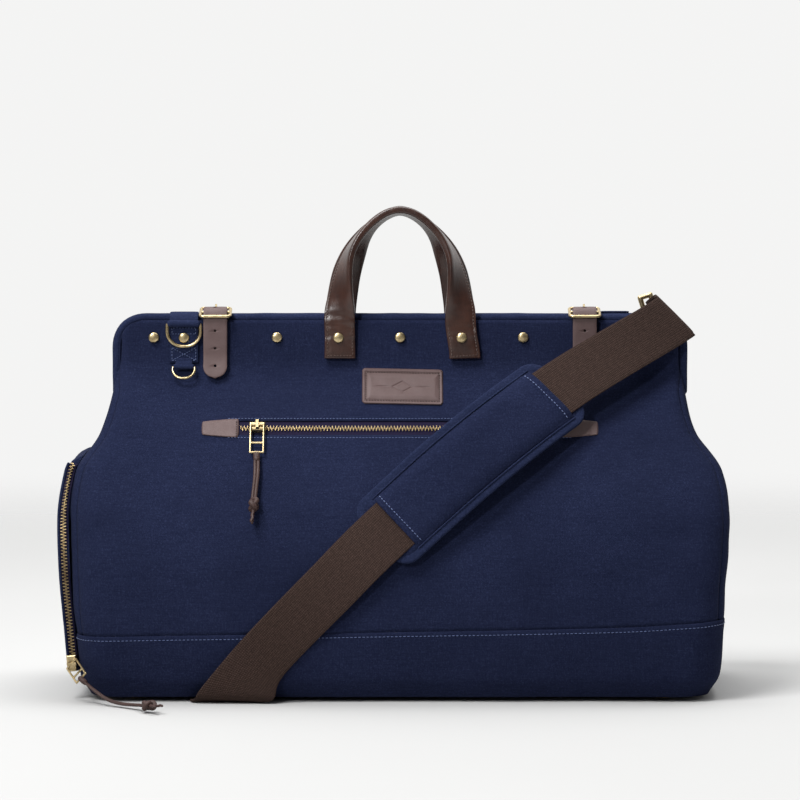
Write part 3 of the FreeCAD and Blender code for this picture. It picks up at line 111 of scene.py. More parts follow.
def studio():
    """A pale floor that fades into the background, under soft light from the upper left."""
    surroundings()
    bpy.context.scene.view_settings.view_transform = "Standard"
    lamp("key", "AREA", (-1.5, -1.5, 3.5), 150, BAG_MIDDLE, shape="RECTANGLE", size=1.5, size_y=1.5)
    lamp("top", "AREA", (0.3, 0.6, 2.8), 60, BAG_MIDDLE, shape="RECTANGLE", size=2.4, size_y=1.6)
    pool = {"spot_size": math.radians(13), "spot_blend": 1.0, "shadow_soft_size": 0.25}
    lamp("beam", "SPOT", (-1.6, -3.3, 1.9), 330, (-0.08, -0.1, 0.37), **pool)
    floor = Finish("floor_paint", (0.52, 0.52, 0.515), 0.9)
    floor.mottle(floor.noise(3), (0.53, 0.53, 0.525), 0.4)
    floor.fade_out(FLOOR_CLEAR, FLOOR_END)
    corners = [(x * FLOOR_END, y * FLOOR_END, 0) for x, y in ((-1, -1), (1, -1), (1, 1), (-1, 1))]
    mesh_piece("floor", corners, [(0, 1, 2, 3)], floor.material)


def new_node(tree, kind, inputs=None, **settings):
    """A shader node; each input is given a value, or another node's output to link to it."""
    made = configure(tree.nodes.new(kind), settings)
    for name, value in (inputs or {}).items():
        if isinstance(value, bpy.types.NodeSocket):
            tree.links.new(value, made.inputs[name])
        else:
            made.inputs[name].default_value = value
    return made


def ranged(tree, value, low, high, low_to=0.0, high_to=1.0, **settings):
    """A node's output mapped from low..high to low_to..high_to."""
    inputs = {"Value": value, "From Min": low, "From Max": high, "To Min": low_to, "To Max": high_to}
    return new_node(tree, "ShaderNodeMapRange", inputs, **settings).outputs["Result"]


def surroundings():
    """White behind the bag, dimmer behind the viewer and below the horizon."""
    world = bpy.data.worlds.new("studio")
    world.use_nodes = True
    tree = world.node_tree
    direction = new_node(tree, "ShaderNodeTexCoord").outputs["Generated"]
    axes = new_node(tree, "ShaderNodeSeparateXYZ", {"Vector": direction}).outputs
    share = ranged(tree, axes["Y"], -0.3, 0.7)
    colours = {"Factor": share, "A": DIM_FRONT, "B": BACKGROUND}
    mixed = new_node(tree, "ShaderNodeMix", colours, data_type="RGBA").outputs["Result"]
    sky = tree.nodes["Background"].inputs
    tree.links.new(mixed, sky["Color"])
    tree.links.new(ranged(tree, axes["Z"], -0.2, -0.09, BELOW_HORIZON), sky["Strength"])
    bpy.context.scene.world = world


# ---------------------------------------------------------------- materials
class Finish:
    """A principled material whose mottling and relief are built up from textures."""

    def __init__(self, name, colour, roughness, **sockets):
        self.material = bpy.data.materials.new(name)
        self.material.use_nodes = True
        self.tree = self.material.node_tree
        self.shader = self.tree.nodes["Principled BSDF"]
        self.shader.inputs["Roughness"].default_value = roughness
        self.shader.inputs["Base Color"].default_value = (*colour, 1)
        for socket, value in sockets.items():
            self.shader.inputs[socket.replace("_", " ")].default_value = value
        self.place = self.node("ShaderNodeTexCoord").outputs["Object"]

    def node(self, kind, inputs=None, **settings):
        return new_node(self.tree, kind, inputs, **settings)

    def link(self, output, socket):
        self.tree.links.new(output, self.shader.inputs[socket])

    def follow_cloth(self):
        """Textures follow the strap: X across it and Y along it, in metres."""
        self.place = self.node("ShaderNodeAttribute", attribute_name="cloth").outputs["Vector"]

    def stretched(self, scale):
        """Texture coordinates scaled by one number or by three."""
        scales = scale if isinstance(scale, tuple) else (scale,) * 3
        return self.node("ShaderNodeMapping", {"Vector": self.place, "Scale": scales}).outputs["Vector"]

    def noise(self, scale, detail=2.0, rough=0.5):
        inputs = {"Vector": self.stretched(scale), "Scale": 1.0, "Detail": detail, "Roughness": rough}
        return self.node("ShaderNodeTexNoise", inputs).outputs["Fac"]

    def cells(self, scale):
        inputs = {"Vector": self.stretched(scale), "Scale": 1.0}
        return self.node("ShaderNodeTexVoronoi", inputs, feature="DISTANCE_TO_EDGE").outputs["Distance"]

    def bands(self, pitch, direction):
        """Even ridges, pitch metres apart, across X or Y."""
        inputs = {"Vector": self.place, "Scale": math.pi / 10 / pitch}
        return self.node("ShaderNodeTexWave", inputs, bands_direction=direction).outputs["Fac"]

    def product(self, first, second):
        return self.node("ShaderNodeMath", {0: first, 1: second}, operation="MULTIPLY").outputs["Value"]

    def mottle(self, amount, colour, most=1.0, low=0.35, high=0.65):
        """Mixes colour in where the texture is high, up to a share of most."""
        base = self.shader.inputs["Base Color"]
        under = base.links[0].from_socket if base.is_linked else base.default_value
        inputs = {"Factor": ranged(self.tree, amount, low, high, 0.0, most), "A": under, "B": (*colour, 1)}
        self.link(self.node("ShaderNodeMix", inputs, data_type="RGBA").outputs["Result"], "Base Color")

    def relief(self, height, distance, strength=1.0):
        """Raises the surface by up to distance metres where the texture is high."""
        inputs = {"Height": height, "Distance": distance, "Strength": strength}
        normal = self.shader.inputs["Normal"]
        if normal.is_linked:
            inputs["Normal"] = normal.links[0].from_socket
        self.link(self.node("ShaderNodeBump", inputs).outputs["Normal"], "Normal")

    def fade_out(self, near, far):
        """Clear from near to far metres from the origin."""
        away = self.node("ShaderNodeVectorMath", {0: self.place}, operation="LENGTH").outputs["Value"]
        share = ranged(self.tree, away, near, far, 1.0, 0.0, interpolation_type="SMOOTHSTEP")
        self.link(share, "Alpha")

    def polish(self, amount, low, high):
        """Roughness from low to high with the texture."""
        self.link(ranged(self.tree, amount, 0.0, 1.0, low, high), "Roughness")


def canvas(name, colour, light):
    """Waxed cotton canvas: level and upright slubs, a fine grain and broad fading."""
    made = Finish(name, colour, 0.95, Specular_IOR_Level=0.06)
    made.mottle(made.noise((70, 70, 900)), light, 0.30)
    made.mottle(made.noise((900, 900, 70)), light, 0.26)
    made.mottle(made.noise(650, 3, 0.7), tuple(c * 1.6 for c in light), 0.5, 0.5, 0.7)
    made.mottle(made.noise(14, 3), tuple(c * 0.72 for c in colour), 0.3)
    made.relief(made.noise((120, 120, 1500)), mm(0.12))
    made.relief(made.noise((1500, 1500, 120)), mm(0.12))
    made.relief(made.noise(1100, 2), mm(0.16))
    return made.material


def plain_cloth(name, colour, dark):
    made = Finish(name, colour, 0.95, Specular_IOR_Level=0.1)
    made.mottle(made.noise((200, 200, 1100)), dark, 0.5)
    made.relief(made.noise((1100, 1100, 300)), mm(0.1))
    return made.material


def ribbed_webbing():
    """Cotton webbing: ribs along the strap, crossed by the weft, with a lighter colour on the raised crests
    where they cross.
    """
    made = Finish("webbing_cloth", (0.040, 0.0235, 0.0195), 0.95, Specular_IOR_Level=0.12)
    made.follow_cloth()
    ribs = made.bands(mm(2.1), "X")
    weft = made.bands(mm(1.6), "Y")
    # lighter colour wherever ribs and weft both rise, on the weave's raised crests
    made.mottle(made.product(ribs, weft), (0.088, 0.061, 0.05), 0.7, 0.15, 0.85)
    made.mottle(made.noise(300), (0.02, 0.013, 0.011), 0.4)
    made.relief(ribs, mm(0.14))
    made.relief(weft, mm(0.30))
    made.relief(made.noise(1500, 1), mm(0.1))
    return made.material


def glossy_leather():
    """Oiled dark brown leather: fine pores, long soft wrinkles and rubbed lighter patches."""
    made = Finish("handle_hide", (0.026, 0.0085, 0.005), 0.36, Coat_Weight=0.25, Coat_Roughness=0.2)
    made.mottle(made.noise(45, 4), (0.058, 0.020, 0.011), 0.6)
    made.mottle(made.noise(160, 3), (0.015, 0.005, 0.003), 0.5, 0.5, 0.75)
    made.relief(made.noise((90, 90, 34), 4, 0.6), mm(0.9), 0.7)
    made.relief(made.cells(1300), mm(0.10), 0.6)
    made.polish(made.noise(60, 3), 0.24, 0.46)
    return made.material


def matt_leather(name, colour, light, dark):
    """Vegetable-tanned leather: dull, with a tight grain and uneven colour."""
    made = Finish(name, colour, 0.62)
    made.mottle(made.noise(70, 4), light, 0.5)
    made.mottle(made.noise(320, 3), dark, 0.25, 0.5, 0.75)
    made.relief(made.noise(420, 3, 0.6), mm(0.18), 0.6)
    made.relief(made.cells(1700), mm(0.07), 0.5)
    made.polish(made.noise(110, 3), 0.5, 0.75)
    return made.material


def metal(name, colour, tarnish, roughness):
    """Polished metal with tarnish in patches and a little handling wear."""
    made = Finish(name, colour, roughness, Metallic=1.0)
    made.mottle(made.noise(240, 4), tarnish, 0.7, 0.42, 0.7)
    made.relief(made.noise(900, 2), mm(0.012), 0.5)
    made.polish(made.noise(300, 3), roughness - 0.1, roughness + 0.16)
    return made.material


def thread(name, colour, light):
    made = Finish(name, colour, 0.7, Sheen_Weight=0.3)
    made.mottle(made.noise(2500, 1), light, 0.6)
    made.relief(made.noise(3000, 1), mm(0.05))
    return made.material


def stiff_board():
    made = Finish("board_fibre", (0.20, 0.155, 0.11), 0.85)
    made.mottle(made.noise((90, 800, 90), 3), (0.11, 0.08, 0.055), 0.6)
    made.relief(made.noise(700, 3), mm(0.1))
    return made.material


NAVY = canvas("navy_canvas", (0.0082, 0.0115, 0.0330), (0.019, 0.025, 0.060))
EDGE_NAVY = canvas("edge_canvas", (0.0105, 0.0150, 0.0410), (0.024, 0.032, 0.074))
TAPE = plain_cloth("zip_tape", (0.0155, 0.0125, 0.034), (0.009, 0.008, 0.021))
LINING = plain_cloth("lining_twill", (0.05, 0.055, 0.09), (0.03, 0.034, 0.058))
WEBBING = ribbed_webbing()
HANDLE_HIDE = glossy_leather()
STRAP_HIDE = matt_leather("strap_hide", (0.088, 0.052, 0.050), (0.12, 0.077, 0.075), (0.062, 0.037, 0.035))
THONG_HIDE = matt_leather("thong_hide", (0.036, 0.0145, 0.011), (0.070, 0.032, 0.026), (0.014, 0.006, 0.005))
BRASS = metal("aged_brass", (0.64, 0.51, 0.29), (0.27, 0.20, 0.10), 0.32)
TOOTH_BRASS = metal("tooth_brass", (0.50, 0.38, 0.20), (0.22, 0.15, 0.07), 0.38)
STEEL = metal("frame_steel_finish", (0.42, 0.42, 0.43), (0.22, 0.22, 0.23), 0.42)
BLUE_THREAD = thread("blue_thread", (0.055, 0.085, 0.20), (0.10, 0.14, 0.29))
DARK_THREAD = thread("dark_thread", (0.030, 0.010, 0.008), (0.055, 0.02, 0.016))
SADDLE_THREAD = thread("saddle_thread", (0.055, 0.026, 0.018), (0.10, 0.055, 0.042))
BOARD = stiff_board()


# ---------------------------------------------------------------- building pieces
HALF_TURN = Matrix.Rotation(math.pi, 4, "Z")
STITCH_PITCH = mm(3.7)
STITCH_SHARE = 0.68  # how much of the pitch the thread shows
STITCH_RADIUS = mm(0.36)
STITCH_SHAPE = ((0, 0.3), (0.25, 1), (0.75, 1), (1, 0.3))  # the share along a stitch and its fullness there
TUBE_END = [(0.35, 0.94), (0.75, 0.66), (1.0, 0.12)]  # in radii: how far past the path, and how wide


def mesh_piece(name, points, faces, material, cloth=None, smooth=True):
    mesh = bpy.data.meshes.new(name)
    mesh.from_pydata([tuple(p) for p in points], [], faces)
    if smooth:
        mesh.shade_smooth()
    if cloth is not None:
        along = mesh.attributes.new("cloth", "FLOAT_VECTOR", "POINT")
        along.data.foreach_set("vector", np.array(cloth, np.float32).ravel())
    piece = bpy.data.objects.new(name, mesh)
    bpy.context.scene.collection.objects.link(piece)
    piece.data.materials.append(material)
    return piece


def grid_faces(rows, columns, wrap=False, skip=None):
    """Quads between the rows of a grid of points; wrap joins the last column to the first."""
    faces = []
    for i in range(rows - 1):
        for j in range(columns if wrap else columns - 1):
            k = (j + 1) % columns
            if skip is None or not skip(i, j):
                faces.append((i * columns + j, i * columns + k, (i + 1) * columns + k, (i + 1) * columns + j))
    return faces


def tube_faces(rings, sides, start=0):
    """Faces along a row of rings, closed at both ends; start is the first point's number."""
    last = (rings - 1) * sides
    faces = grid_faces(rings, sides, True) + [tuple(range(sides))[::-1], tuple(range(last, last + sides))]
    return [tuple(start + i for i in face) for face in faces] if start else faces


def surface(name, at, across, along, material, wrap=False, skip=None, flip=False):
    """The surface at(u, v) as a grid; skip(u, v) leaves a hole where its middle is true."""
    points = [at(u, v) for v in along for u in across]

    def hole(i, j):
        u = (across[j] + across[(j + 1) % len(across)]) / 2
        return skip(u, (along[i] + along[i + 1]) / 2)

    faces = grid_faces(len(along), len(across), wrap, hole if skip else None)
    if flip:
        faces = [face[::-1] for face in faces]
    return mesh_piece(name, points, faces, material)


def modify(piece, kind, **settings):
    return configure(piece.modifiers.new(kind.lower(), kind), settings)


def thicken(piece, thickness, lining=None):
    """Gives a sheet a thickness inwards; its inner side can have a lining of its own."""
    solid = modify(piece, "SOLIDIFY", thickness=thickness, offset=-1)
    if lining:
        piece.data.materials.append(lining)
        solid.material_offset = 1
    return piece


def applied(piece):
    """The piece with its modifiers made part of its mesh."""
    graph = bpy.context.evaluated_depsgraph_get()
    mesh = bpy.data.meshes.new_from_object(piece.evaluated_get(graph))
    piece.modifiers.clear()
    piece.data = mesh
    return piece


def merged(name, pieces):
    """Several pieces of one material as one, shaded smooth."""
    whole = bmesh.new()
    for piece in pieces:
        whole.from_mesh(piece.data)
    mesh = bpy.data.meshes.new(name)
    whole.to_mesh(mesh)
    whole.free()
    mesh.shade_smooth()
    joined = bpy.data.objects.new(name, mesh)
    bpy.context.scene.collection.objects.link(joined)
    joined.data.materials.append(pieces[0].data.materials[0])
    for piece in pieces:
        bpy.data.objects.remove(piece)
    return joined


def frames_along(path):
    """Directions at each point of a path: along it and two across it, turned as little as possible."""
    tangents = np.gradient(path, axis=0)
    tangents /= np.linalg.norm(tangents, axis=1)[:, None]
    side = np.cross(tangents[0], (0.0, 0.31, 0.95))
    sides = []
    for tangent in tangents:
        side = side - tangent * side.dot(tangent)
        side /= np.linalg.norm(side)
        sides.append(side)
    sides = np.array(sides)
    return tangents, sides, np.cross(tangents, sides)


def circle(radius, count):
    angles = [2 * math.pi * k / count for k in range(count)]
    return [(radius * math.cos(a), radius * math.sin(a)) for a in angles]


def tube(name, path, radius, material, sides=14, flatten=1.0):
    """A tube along a path, with rounded ends."""
    path = np.array(path, float)
    tangents, right, up = frames_along(path)
    rings = [(0, path[0] - tangents[0] * radius * past, wide) for past, wide in TUBE_END[::-1]]
    rings += [(i, place, 1.0) for i, place in enumerate(path)]
    rings += [(-1, path[-1] + tangents[-1] * radius * past, wide) for past, wide in TUBE_END]
    points = []
    for i, centre, wide in rings:
        for a, b in circle(radius * wide, sides):
            points.append(centre + right[i] * a + up[i] * b * flatten)
    return mesh_piece(name, points, tube_faces(len(rings), sides), material)


def spline(points, steps=10):
    """Rows of numbers passed through smoothly, with steps rows to each span."""
    rows = np.array(points, float)
    ends = np.vstack([2 * rows[0] - rows[1], rows, 2 * rows[-1] - rows[-2]])
    made = []
    for a, b, c, d in zip(ends, ends[1:], ends[2:], ends[3:]):
        square, cube = 2 * a - 5 * b + 4 * c - d, 3 * b - a - 3 * c + d
        for t in np.arange(steps) / steps:
            made.append(0.5 * (2 * b + (c - a) * t + square * t**2 + cube * t**3))
    return np.array(made + [rows[-1]])


def evenly(path, step):
    """The path again, with points about step apart."""
    path = np.array([tuple(p) for p in path], float)
    along = np.concatenate([[0], np.cumsum(np.linalg.norm(np.diff(path, axis=0), axis=1))])
    count = max(2, int(round(along[-1] / step)) + 1)
    marks = np.linspace(0, along[-1], count)
    return np.stack([np.interp(marks, along, path[:, k]) for k in range(3)], axis=1)


def stitches(name, lines, material, pitch=STITCH_PITCH, radius=STITCH_RADIUS):
    """Sewing thread along each line: one short bead a stitch, its ends drawn into the cloth."""
    points, faces = [], []
    for line in lines:
        holes = evenly(line, pitch)
        for a, b in zip(holes, holes[1:]):
            faces += tube_faces(len(STITCH_SHAPE), 6, len(points))
            run = (b - a) * STITCH_SHARE
            across = np.cross(run, (0.2, 0.9, 0.35))
            across /= np.linalg.norm(across)
            up = np.cross(run / np.linalg.norm(run), across)
            for share, scale in STITCH_SHAPE:
                for u, v in circle(radius * scale, 6):
                    points.append(a + run * share + across * u + up * v)
    return mesh_piece(name, points, faces, material)


def dressed(piece, replaced):
    """The piece, standing for CAD nodes, which are hidden."""
    if replaced:
        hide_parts(*replaced)
    return piece


def settle(piece, body, slot=None, *replaced):
    """The piece rides on a body."""
    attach(piece, body)
    return dressed(piece, replaced)


def bridge(piece, first, second, start, end, slot=None, *replaced):
    """The piece with its transform made part of its mesh; first, second, start and end are not used."""
    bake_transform(piece)
    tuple(start)
    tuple(end)
    return dressed(piece, replaced)


def behind(piece, name):
    """A copy of a piece turned half round the bag's upright axis."""
    copy = bpy.data.objects.new(name, piece.data.copy())
    copy.data.transform(HALF_TURN)
    bpy.context.scene.collection.objects.link(copy)
    return copy


def node_points(*names):
    return np.array([v.co for name in names for v in frame["nodes"][name].data.vertices])


def joint_place(name):
    return next(Vector(joint["pos_m"]) for joint in frame["joints"] if joint["name"] == name)


def smoothstep(low, high, x):
    t = min(max((x - low) / (high - low), 0.0), 1.0)
    return t * t * (3 - 2 * t)


def bell(x, reach):
    """1 at 0, and fading away over about reach."""
    return math.exp(-((x / reach) ** 2))


def smooth_curve(pairs):
    """A curve through pairs of numbers that never overshoots them."""
    xs, ys = (np.array(column) for column in zip(*sorted(pairs)))
    slopes = np.diff(ys) / np.diff(xs)
    before, after = slopes[:-1], slopes[1:]
    level = before * after <= 0
    inner = np.where(level, 0, 2 * before * after / np.where(level, 1, before + after))
    lean = np.concatenate([[slopes[0]], inner, [slopes[-1]]])

    def value(x):
        i = int(np.clip(np.searchsorted(xs, x) - 1, 0, len(xs) - 2))
        h = xs[i + 1] - xs[i]
        t = min(max((x - xs[i]) / h, 0.0), 1.0)
        rise = (3 - 2 * t) * t * t
        bow = h * t * (1 - t) * ((1 - t) * lean[i] - t * lean[i + 1])
        return float(ys[i] * (1 - rise) + ys[i + 1] * rise + bow)

    return value


# ---------------------------------------------------------------- the cloth walls
WALL_HEIGHTS = mm(4, 22, 65, 118, 165, 205, 240, 273, 303)  # the levels of the CAD walls
DEPTH_ONLY = mm(291, 342)  # levels where the CAD's panels stop short of the wall's full width
BASE_TOP = mm(65)
BASE_PROUD = mm(1.1)  # the base band laps over the panels
SEAM_INSET = mm(6)
SEAM_STOP = mm(9.5)  # on the frame the front and rear panels stop this far from the middle
SEAM_DIP, SEAM_SOFTNESS = mm(1.3), mm(2.6)  # how deep a seam draws the cloth in, and how far round
PANEL_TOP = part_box("front_panel")[1].z
MOUTH_CORNER = mm(22)
END_TOP = mm(296)
END_FALL = mm(270)  # above this the end walls fall away behind, clear of the rear half of the frame
WALL_SKIN = mm(1.2)
WALL_ROW = mm(3.4)
LINING_GAP = mm(7)
LINING_SKIN = mm(0.8)
HELD_FROM, HELD_ABOVE = mm(292, 322)  # the frame holds the cloth still up here
HOLLOWS = [  # soft hollows of the front: x, z, radius, depth
    mm(252, 222, 46, 5.5),
    mm(262, 118, 60, 4.5),
    mm(-248, 228, 40, 3.5),
    mm(-252, 120, 70, 2.5),
    mm(150, 92, 70, 1.8),
    mm(-60, 170, 90, 1.5),
    mm(205, 170, 45, -2.0),
]
ZIP_Z = mm(242.5)
ZIP_HALF = mm(152)
CHAIN_RISE = mm(3.2)
SLOT_REACH = mm(7.6)  # from the chain's middle to each edge of the slot, along the wall
SLOT_FOLD, SLOT_DIP = mm(2.5, 1.3)  # how wide the slot's turned-in edges are, and how far they sink


def measured_walls():
    """Half width, half depth and corner radius of the CAD walls, each as a curve of height."""
    points = node_points("base_wrap", "front_panel", "left_end_panel", "right_end_panel")
    widths, depths, corners = [], [], []
    for z in WALL_HEIGHTS + DEPTH_ONLY:
        level = abs(points[abs(points[:, 2] - z) < mm(0.2)])
        half_d = level[:, 1].max()
        depths.append((z, half_d))
        if z in WALL_HEIGHTS:
            flat = level[level[:, 1] > half_d - mm(0.05)][:, 0].max()
            widths.append((z, level[:, 0].max()))
            corners.append((z, level[:, 0].max() - flat))
    return smooth_curve(widths), smooth_curve(depths), smooth_curve(corners)


width_at, depth_at, corner_at = measured_walls()
base_seam = smooth_curve([mm(-305, 60), mm(0, 65), mm(190, 68.5), mm(305, 75)])  # its height across the bag
LEAN = math.atan2(depth_at(0.240) - depth_at(0.273), 0.033)  # of the front wall at the zip


def section_at(z):
    """The drafted wall at a height: half width, half depth, corner radius and a quarter of its way round."""
    w, d, r = width_at(z), depth_at(z), corner_at(z)
    return w, d, r, (w - r) + r * math.pi / 2 + (d - r)


def quarter(z):
    """From the middle of the front to the middle of an end, along the wall."""
    return section_at(z)[3]


def around(z, s):
    """A point of the drafted wall and its outward direction, s along it from the middle of the front."""
    w, d, r, half = section_at(z)
    t = 2 * half - abs(s) if abs(s) > half else abs(s)
    back = -1 if abs(s) > half else 1
    if t <= w - r:
        x, y, nx, ny = t, -d, 0.0, -1.0
    elif t <= w - r + r * math.pi / 2:
        a = (t - w + r) / r
        x, y, nx, ny = w - r + r * math.sin(a), r - d - r * math.cos(a), math.sin(a), -math.cos(a)
    else:
        x, y, nx, ny = w, r - d + (t - w + r - r * math.pi / 2), 1.0, 0.0
    side = math.copysign(1, s)
    return x * side, y * back, nx * side, ny * back


def seam_reach(z):
    """How far round the wall the side seam stands from the middle of the front."""
    w, d, r, _ = section_at(z)
    low = math.asin(max(0.0, 1 - SEAM_INSET / r))
    high = math.acos(min(1.0, max(0.0, 1 - (d - SEAM_STOP) / r)))
    share = smoothstep(0.273, 0.303, z)
    return (w - r) + r * (low * (1 - share) + high * share)


def relief(x, y, z):
    """How far the cloth stands out from its drafted shape: sagging, and none where it is held."""
    held = 1 - smoothstep(HELD_FROM, HELD_ABOVE, z)
    near_zip = 1 - 0.9 * bell(z - ZIP_Z, mm(22)) * (abs(x) < mm(190))
    wave = mm(2.2) * noise.noise((x * 11, y * 11, z * 14)) + mm(0.6) * noise.noise((x * 38, y * 38, z * 46))
    crease = noise.noise((x * 21 + z * 30, y * 21, z * 9 + 3)) * (1 - smoothstep(0.06, 0.15, z))
    wave += mm(1.5) * crease * smoothstep(0.16, 0.26, abs(x))
    hollow = sum(depth * math.exp(-((x - cx) ** 2 + (z - cz) ** 2) / r**2) for cx, cz, r, depth in HOLLOWS)
    return held * near_zip * (wave - hollow)


def wall(kind, z, t, lift=0.0):
    """A point of a wall panel: kind is front, rear, left or right, and t runs -1..1 from seam to seam."""
    reach = seam_reach(z)
    if kind in ("front", "rear"):
        s = t * reach
        from_seam = reach - abs(s)
    else:
        span = quarter(z) - reach
        s = reach + (t + 1) * span
        from_seam = span * (1 - abs(t))
    x, y, nx, ny = around(z, s)
    out = lift + relief(-x if kind == "left" else x, y, z) - SEAM_DIP * bell(from_seam, SEAM_SOFTNESS)
    x, y = x + nx * out, y + ny * out
    return Vector((-x if kind == "left" else x, -y if kind == "rear" else y, z))


def panel_height(kind, t, v):
    """The height of a panel's row v, which follows the slanting seam of the base at the bottom."""
    x = {"front": 0.3 * t, "rear": 0.3 * t, "left": -0.3, "right": 0.3}[kind]
    return v + (base_seam(x) - BASE_TOP) * (1 - smoothstep(BASE_TOP, BASE_TOP + mm(70), v))


def front_place(x, z, lift=0.0):
    """A point of the front wall's flat part, x across."""
    return wall("front", z, x / seam_reach(z), lift)


def panel_at(kind):
    def at(t, v):
        z = panel_height(kind, t, v)
        if kind in ("left", "right"):
            z -= max(0.0, z - END_FALL) * 0.5 * smoothstep(-0.3, 0.5, t)
        point = wall(kind, z, t)
        if kind in ("front", "rear") and z > PANEL_TOP - MOUTH_CORNER:
            rise = min(z - PANEL_TOP + MOUTH_CORNER, MOUTH_CORNER * 0.999)
            limit = width_at(z) - MOUTH_CORNER + math.sqrt(MOUTH_CORNER**2 - rise**2)
            point.x = t * limit if abs(t) < 0.5 else math.copysign(min(abs(point.x), limit), t)
        return point

    return at


def panel_columns(count):
    """Values from -1 to 1, closer together near both ends where the walls turn."""
    return [t * 0.65 + math.sin(t * math.pi / 2) * 0.35 for t in spread(-1, 1, count)]


def zip_height(up):
    """The height of a place up the leaning wall from the zip's middle line."""
    return ZIP_Z + up * math.cos(LEAN)


def wall_rows(low, high, step, *exact):
    """Heights about step apart that include the exact ones."""
    marks = sorted([low, high, *exact])
    rows = []
    for a, b in zip(marks, marks[1:]):
        rows += spread(a, b, max(2, int((b - a) / step)), endpoint=False)
    return rows + [high]


def front_wall():
    """The front panel, with the zip's slot: its edges are turned in and sink a little."""
    low, high = zip_height(CHAIN_RISE - SLOT_REACH), zip_height(CHAIN_RISE + SLOT_REACH)
    drafted = panel_at("front")

    def at(t, v):
        point = drafted(t, v)
        edge = min(abs(v - low), abs(v - high))
        if abs(point.x) < ZIP_HALF + mm(2) and edge < SLOT_FOLD:
            point.y += SLOT_DIP * (1 - edge / SLOT_FOLD) ** 2
        return point

    def slot(t, v):
        return low < v < high and abs(t) * seam_reach(v) < ZIP_HALF

    edges = (low - mm(2.4), low - mm(1.2), low, high, high + mm(1.2), high + mm(2.4))
    rows = wall_rows(BASE_TOP, PANEL_TOP, WALL_ROW, *edges)
    piece = surface("front_wall", at, panel_columns(171), rows, NAVY, skip=slot)
    settle(thicken(piece, WALL_SKIN, LINING), "bag", "canvas", "front_panel")


def rear_wall():
    """One cloth from the base to the rear half of the frame."""
    rows = wall_rows(BASE_TOP, PANEL_TOP, WALL_ROW)
    piece = surface("rear_wall", panel_at("rear"), panel_columns(171), rows, NAVY, flip=True)
    thicken(piece, WALL_SKIN, LINING)
    start, end = ((0, mm(40), z) for z in mm(261, 284))
    bridge(piece, "bag", "rear_mouth", start, end, "canvas", "rear_panel", "rear_mouth_panel")


def end_walls():
    rows = wall_rows(BASE_TOP, END_TOP, WALL_ROW)
    for kind in ("left", "right"):
        name, flip = f"{kind}_end_wall", kind == "left"
        piece = surface(name, panel_at(kind), panel_columns(61), rows, NAVY, flip=flip)
        settle(thicken(piece, WALL_SKIN, LINING), "bag", "canvas", f"{kind}_end_panel")


def base_place(share, v, lift=0.0):
    """A point of the base band: share runs -1..1 all the way round, v from its foot to its top."""
    rough = around(v, share * 2 * quarter(v))
    z = v + (base_seam(rough[0]) - BASE_TOP) * smoothstep(0.02, BASE_TOP, v)
    x, y, nx, ny = around(z, share * 2 * quarter(z))
    fold = 1 - smoothstep(BASE_TOP - mm(1.6), BASE_TOP + mm(0.4), v)
    out = lift + relief(x, y, z) + BASE_PROUD * fold
    return Vector((x + nx * out, y + ny * out, z))


def base_band():
    columns = spread(-1, 1, 420, endpoint=False)
    rows = wall_rows(mm(4), BASE_TOP, mm(3.2), mm(5.5), mm(8), BASE_TOP - mm(1.2), BASE_TOP - mm(0.5))
    band = surface("base_band", base_place, columns, rows, NAVY, wrap=True)
    settle(thicken(band, WALL_SKIN), "bag", "canvas", "base_wrap")
    line = [base_place(share, BASE_TOP - mm(4), mm(0.12)) for share in spread(-1, 1, 900)]
    settle(stitches("base_stitches", [line], BLUE_THREAD), "bag")


def bottom_cloth():
    """The cloth of the bottom: rings from the base's foot in to the middle foot."""
    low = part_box("bottom_panel")[0].z

    def at(share, inward):
        x, y, _, _ = around(mm(4), share * 2 * quarter(mm(4)))
        slack = mm(0.5) * noise.noise((x * 25, y * 25, 0)) * (1 - inward)
        return Vector((x * inward, y * inward, low + mm(0.2) + max(0, slack)))

    columns, rings = spread(-1, 1, 200, endpoint=False), spread(0.985, 0.02, 26)
    piece = surface("bottom_cloth", at, columns, rings, NAVY, wrap=True)
    piece.data.flip_normals()
    settle(thicken(piece, mm(1.8)), "bag", "canvas", "bottom_panel")


def lining_bag():
    """The loose lining: a cloth bag just inside the walls, hemmed below the frame."""

    def at(share, z):
        x, y, nx, ny = around(z, share * 2 * quarter(z))
        slack = mm(1.6) * noise.noise((x * 16, y * 16, z * 11 + 4)) - mm(0.4)
        out = -LINING_GAP + min(slack, mm(0.8))
        return Vector((x + nx * out, y + ny * out, z))

    rows = wall_rows(mm(12), mm(256), mm(5), mm(252))
    piece = surface("lining_bag", at, spread(-1, 1, 260, endpoint=False), rows, LINING, wrap=True)
    settle(thicken(piece, LINING_SKIN), "bag", "lining_cloth", "lining")


def pouch():
    """The front pocket's hidden pouch, hanging against the inside of the front wall."""
    low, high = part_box("pocket_pouch")
    reach = high.x - mm(4)

    def at(x, z):
        edge = min(1.0, (reach - abs(x)) / mm(14), (z - low.z) / mm(14) + 0.05)
        return Vector((x, -depth_at(z) + mm(4.1) + mm(0.9) * max(0, edge), z))

    rows = wall_rows(low.z + mm(2), high.z, mm(4))
    piece = surface("pocket_pouch_cloth", at, spread(-reach, reach, 90), rows, LINING)
    settle(thicken(piece, LINING_SKIN), "bag", "lining_cloth", "pocket_pouch")


# ---------------------------------------------------------------- the mouth
RIM_CORNER = mm(25)
RIM_FOOT = mm(276)  # the front cover runs down until it sinks into the side seams
RIM_TURN = Vector(mm(237.6, 0, 318.2))  # the middle of the rounded corner on the right
RIDGE_OUT, RIDGE_IN = 0.86, 0.62  # where the seam ridge lies on the roll, in its radii
RIDGE_RADIUS = mm(0.7)
PLEAT_REACH = mm(36)
HINGE = joint_place("mouth_hinge")


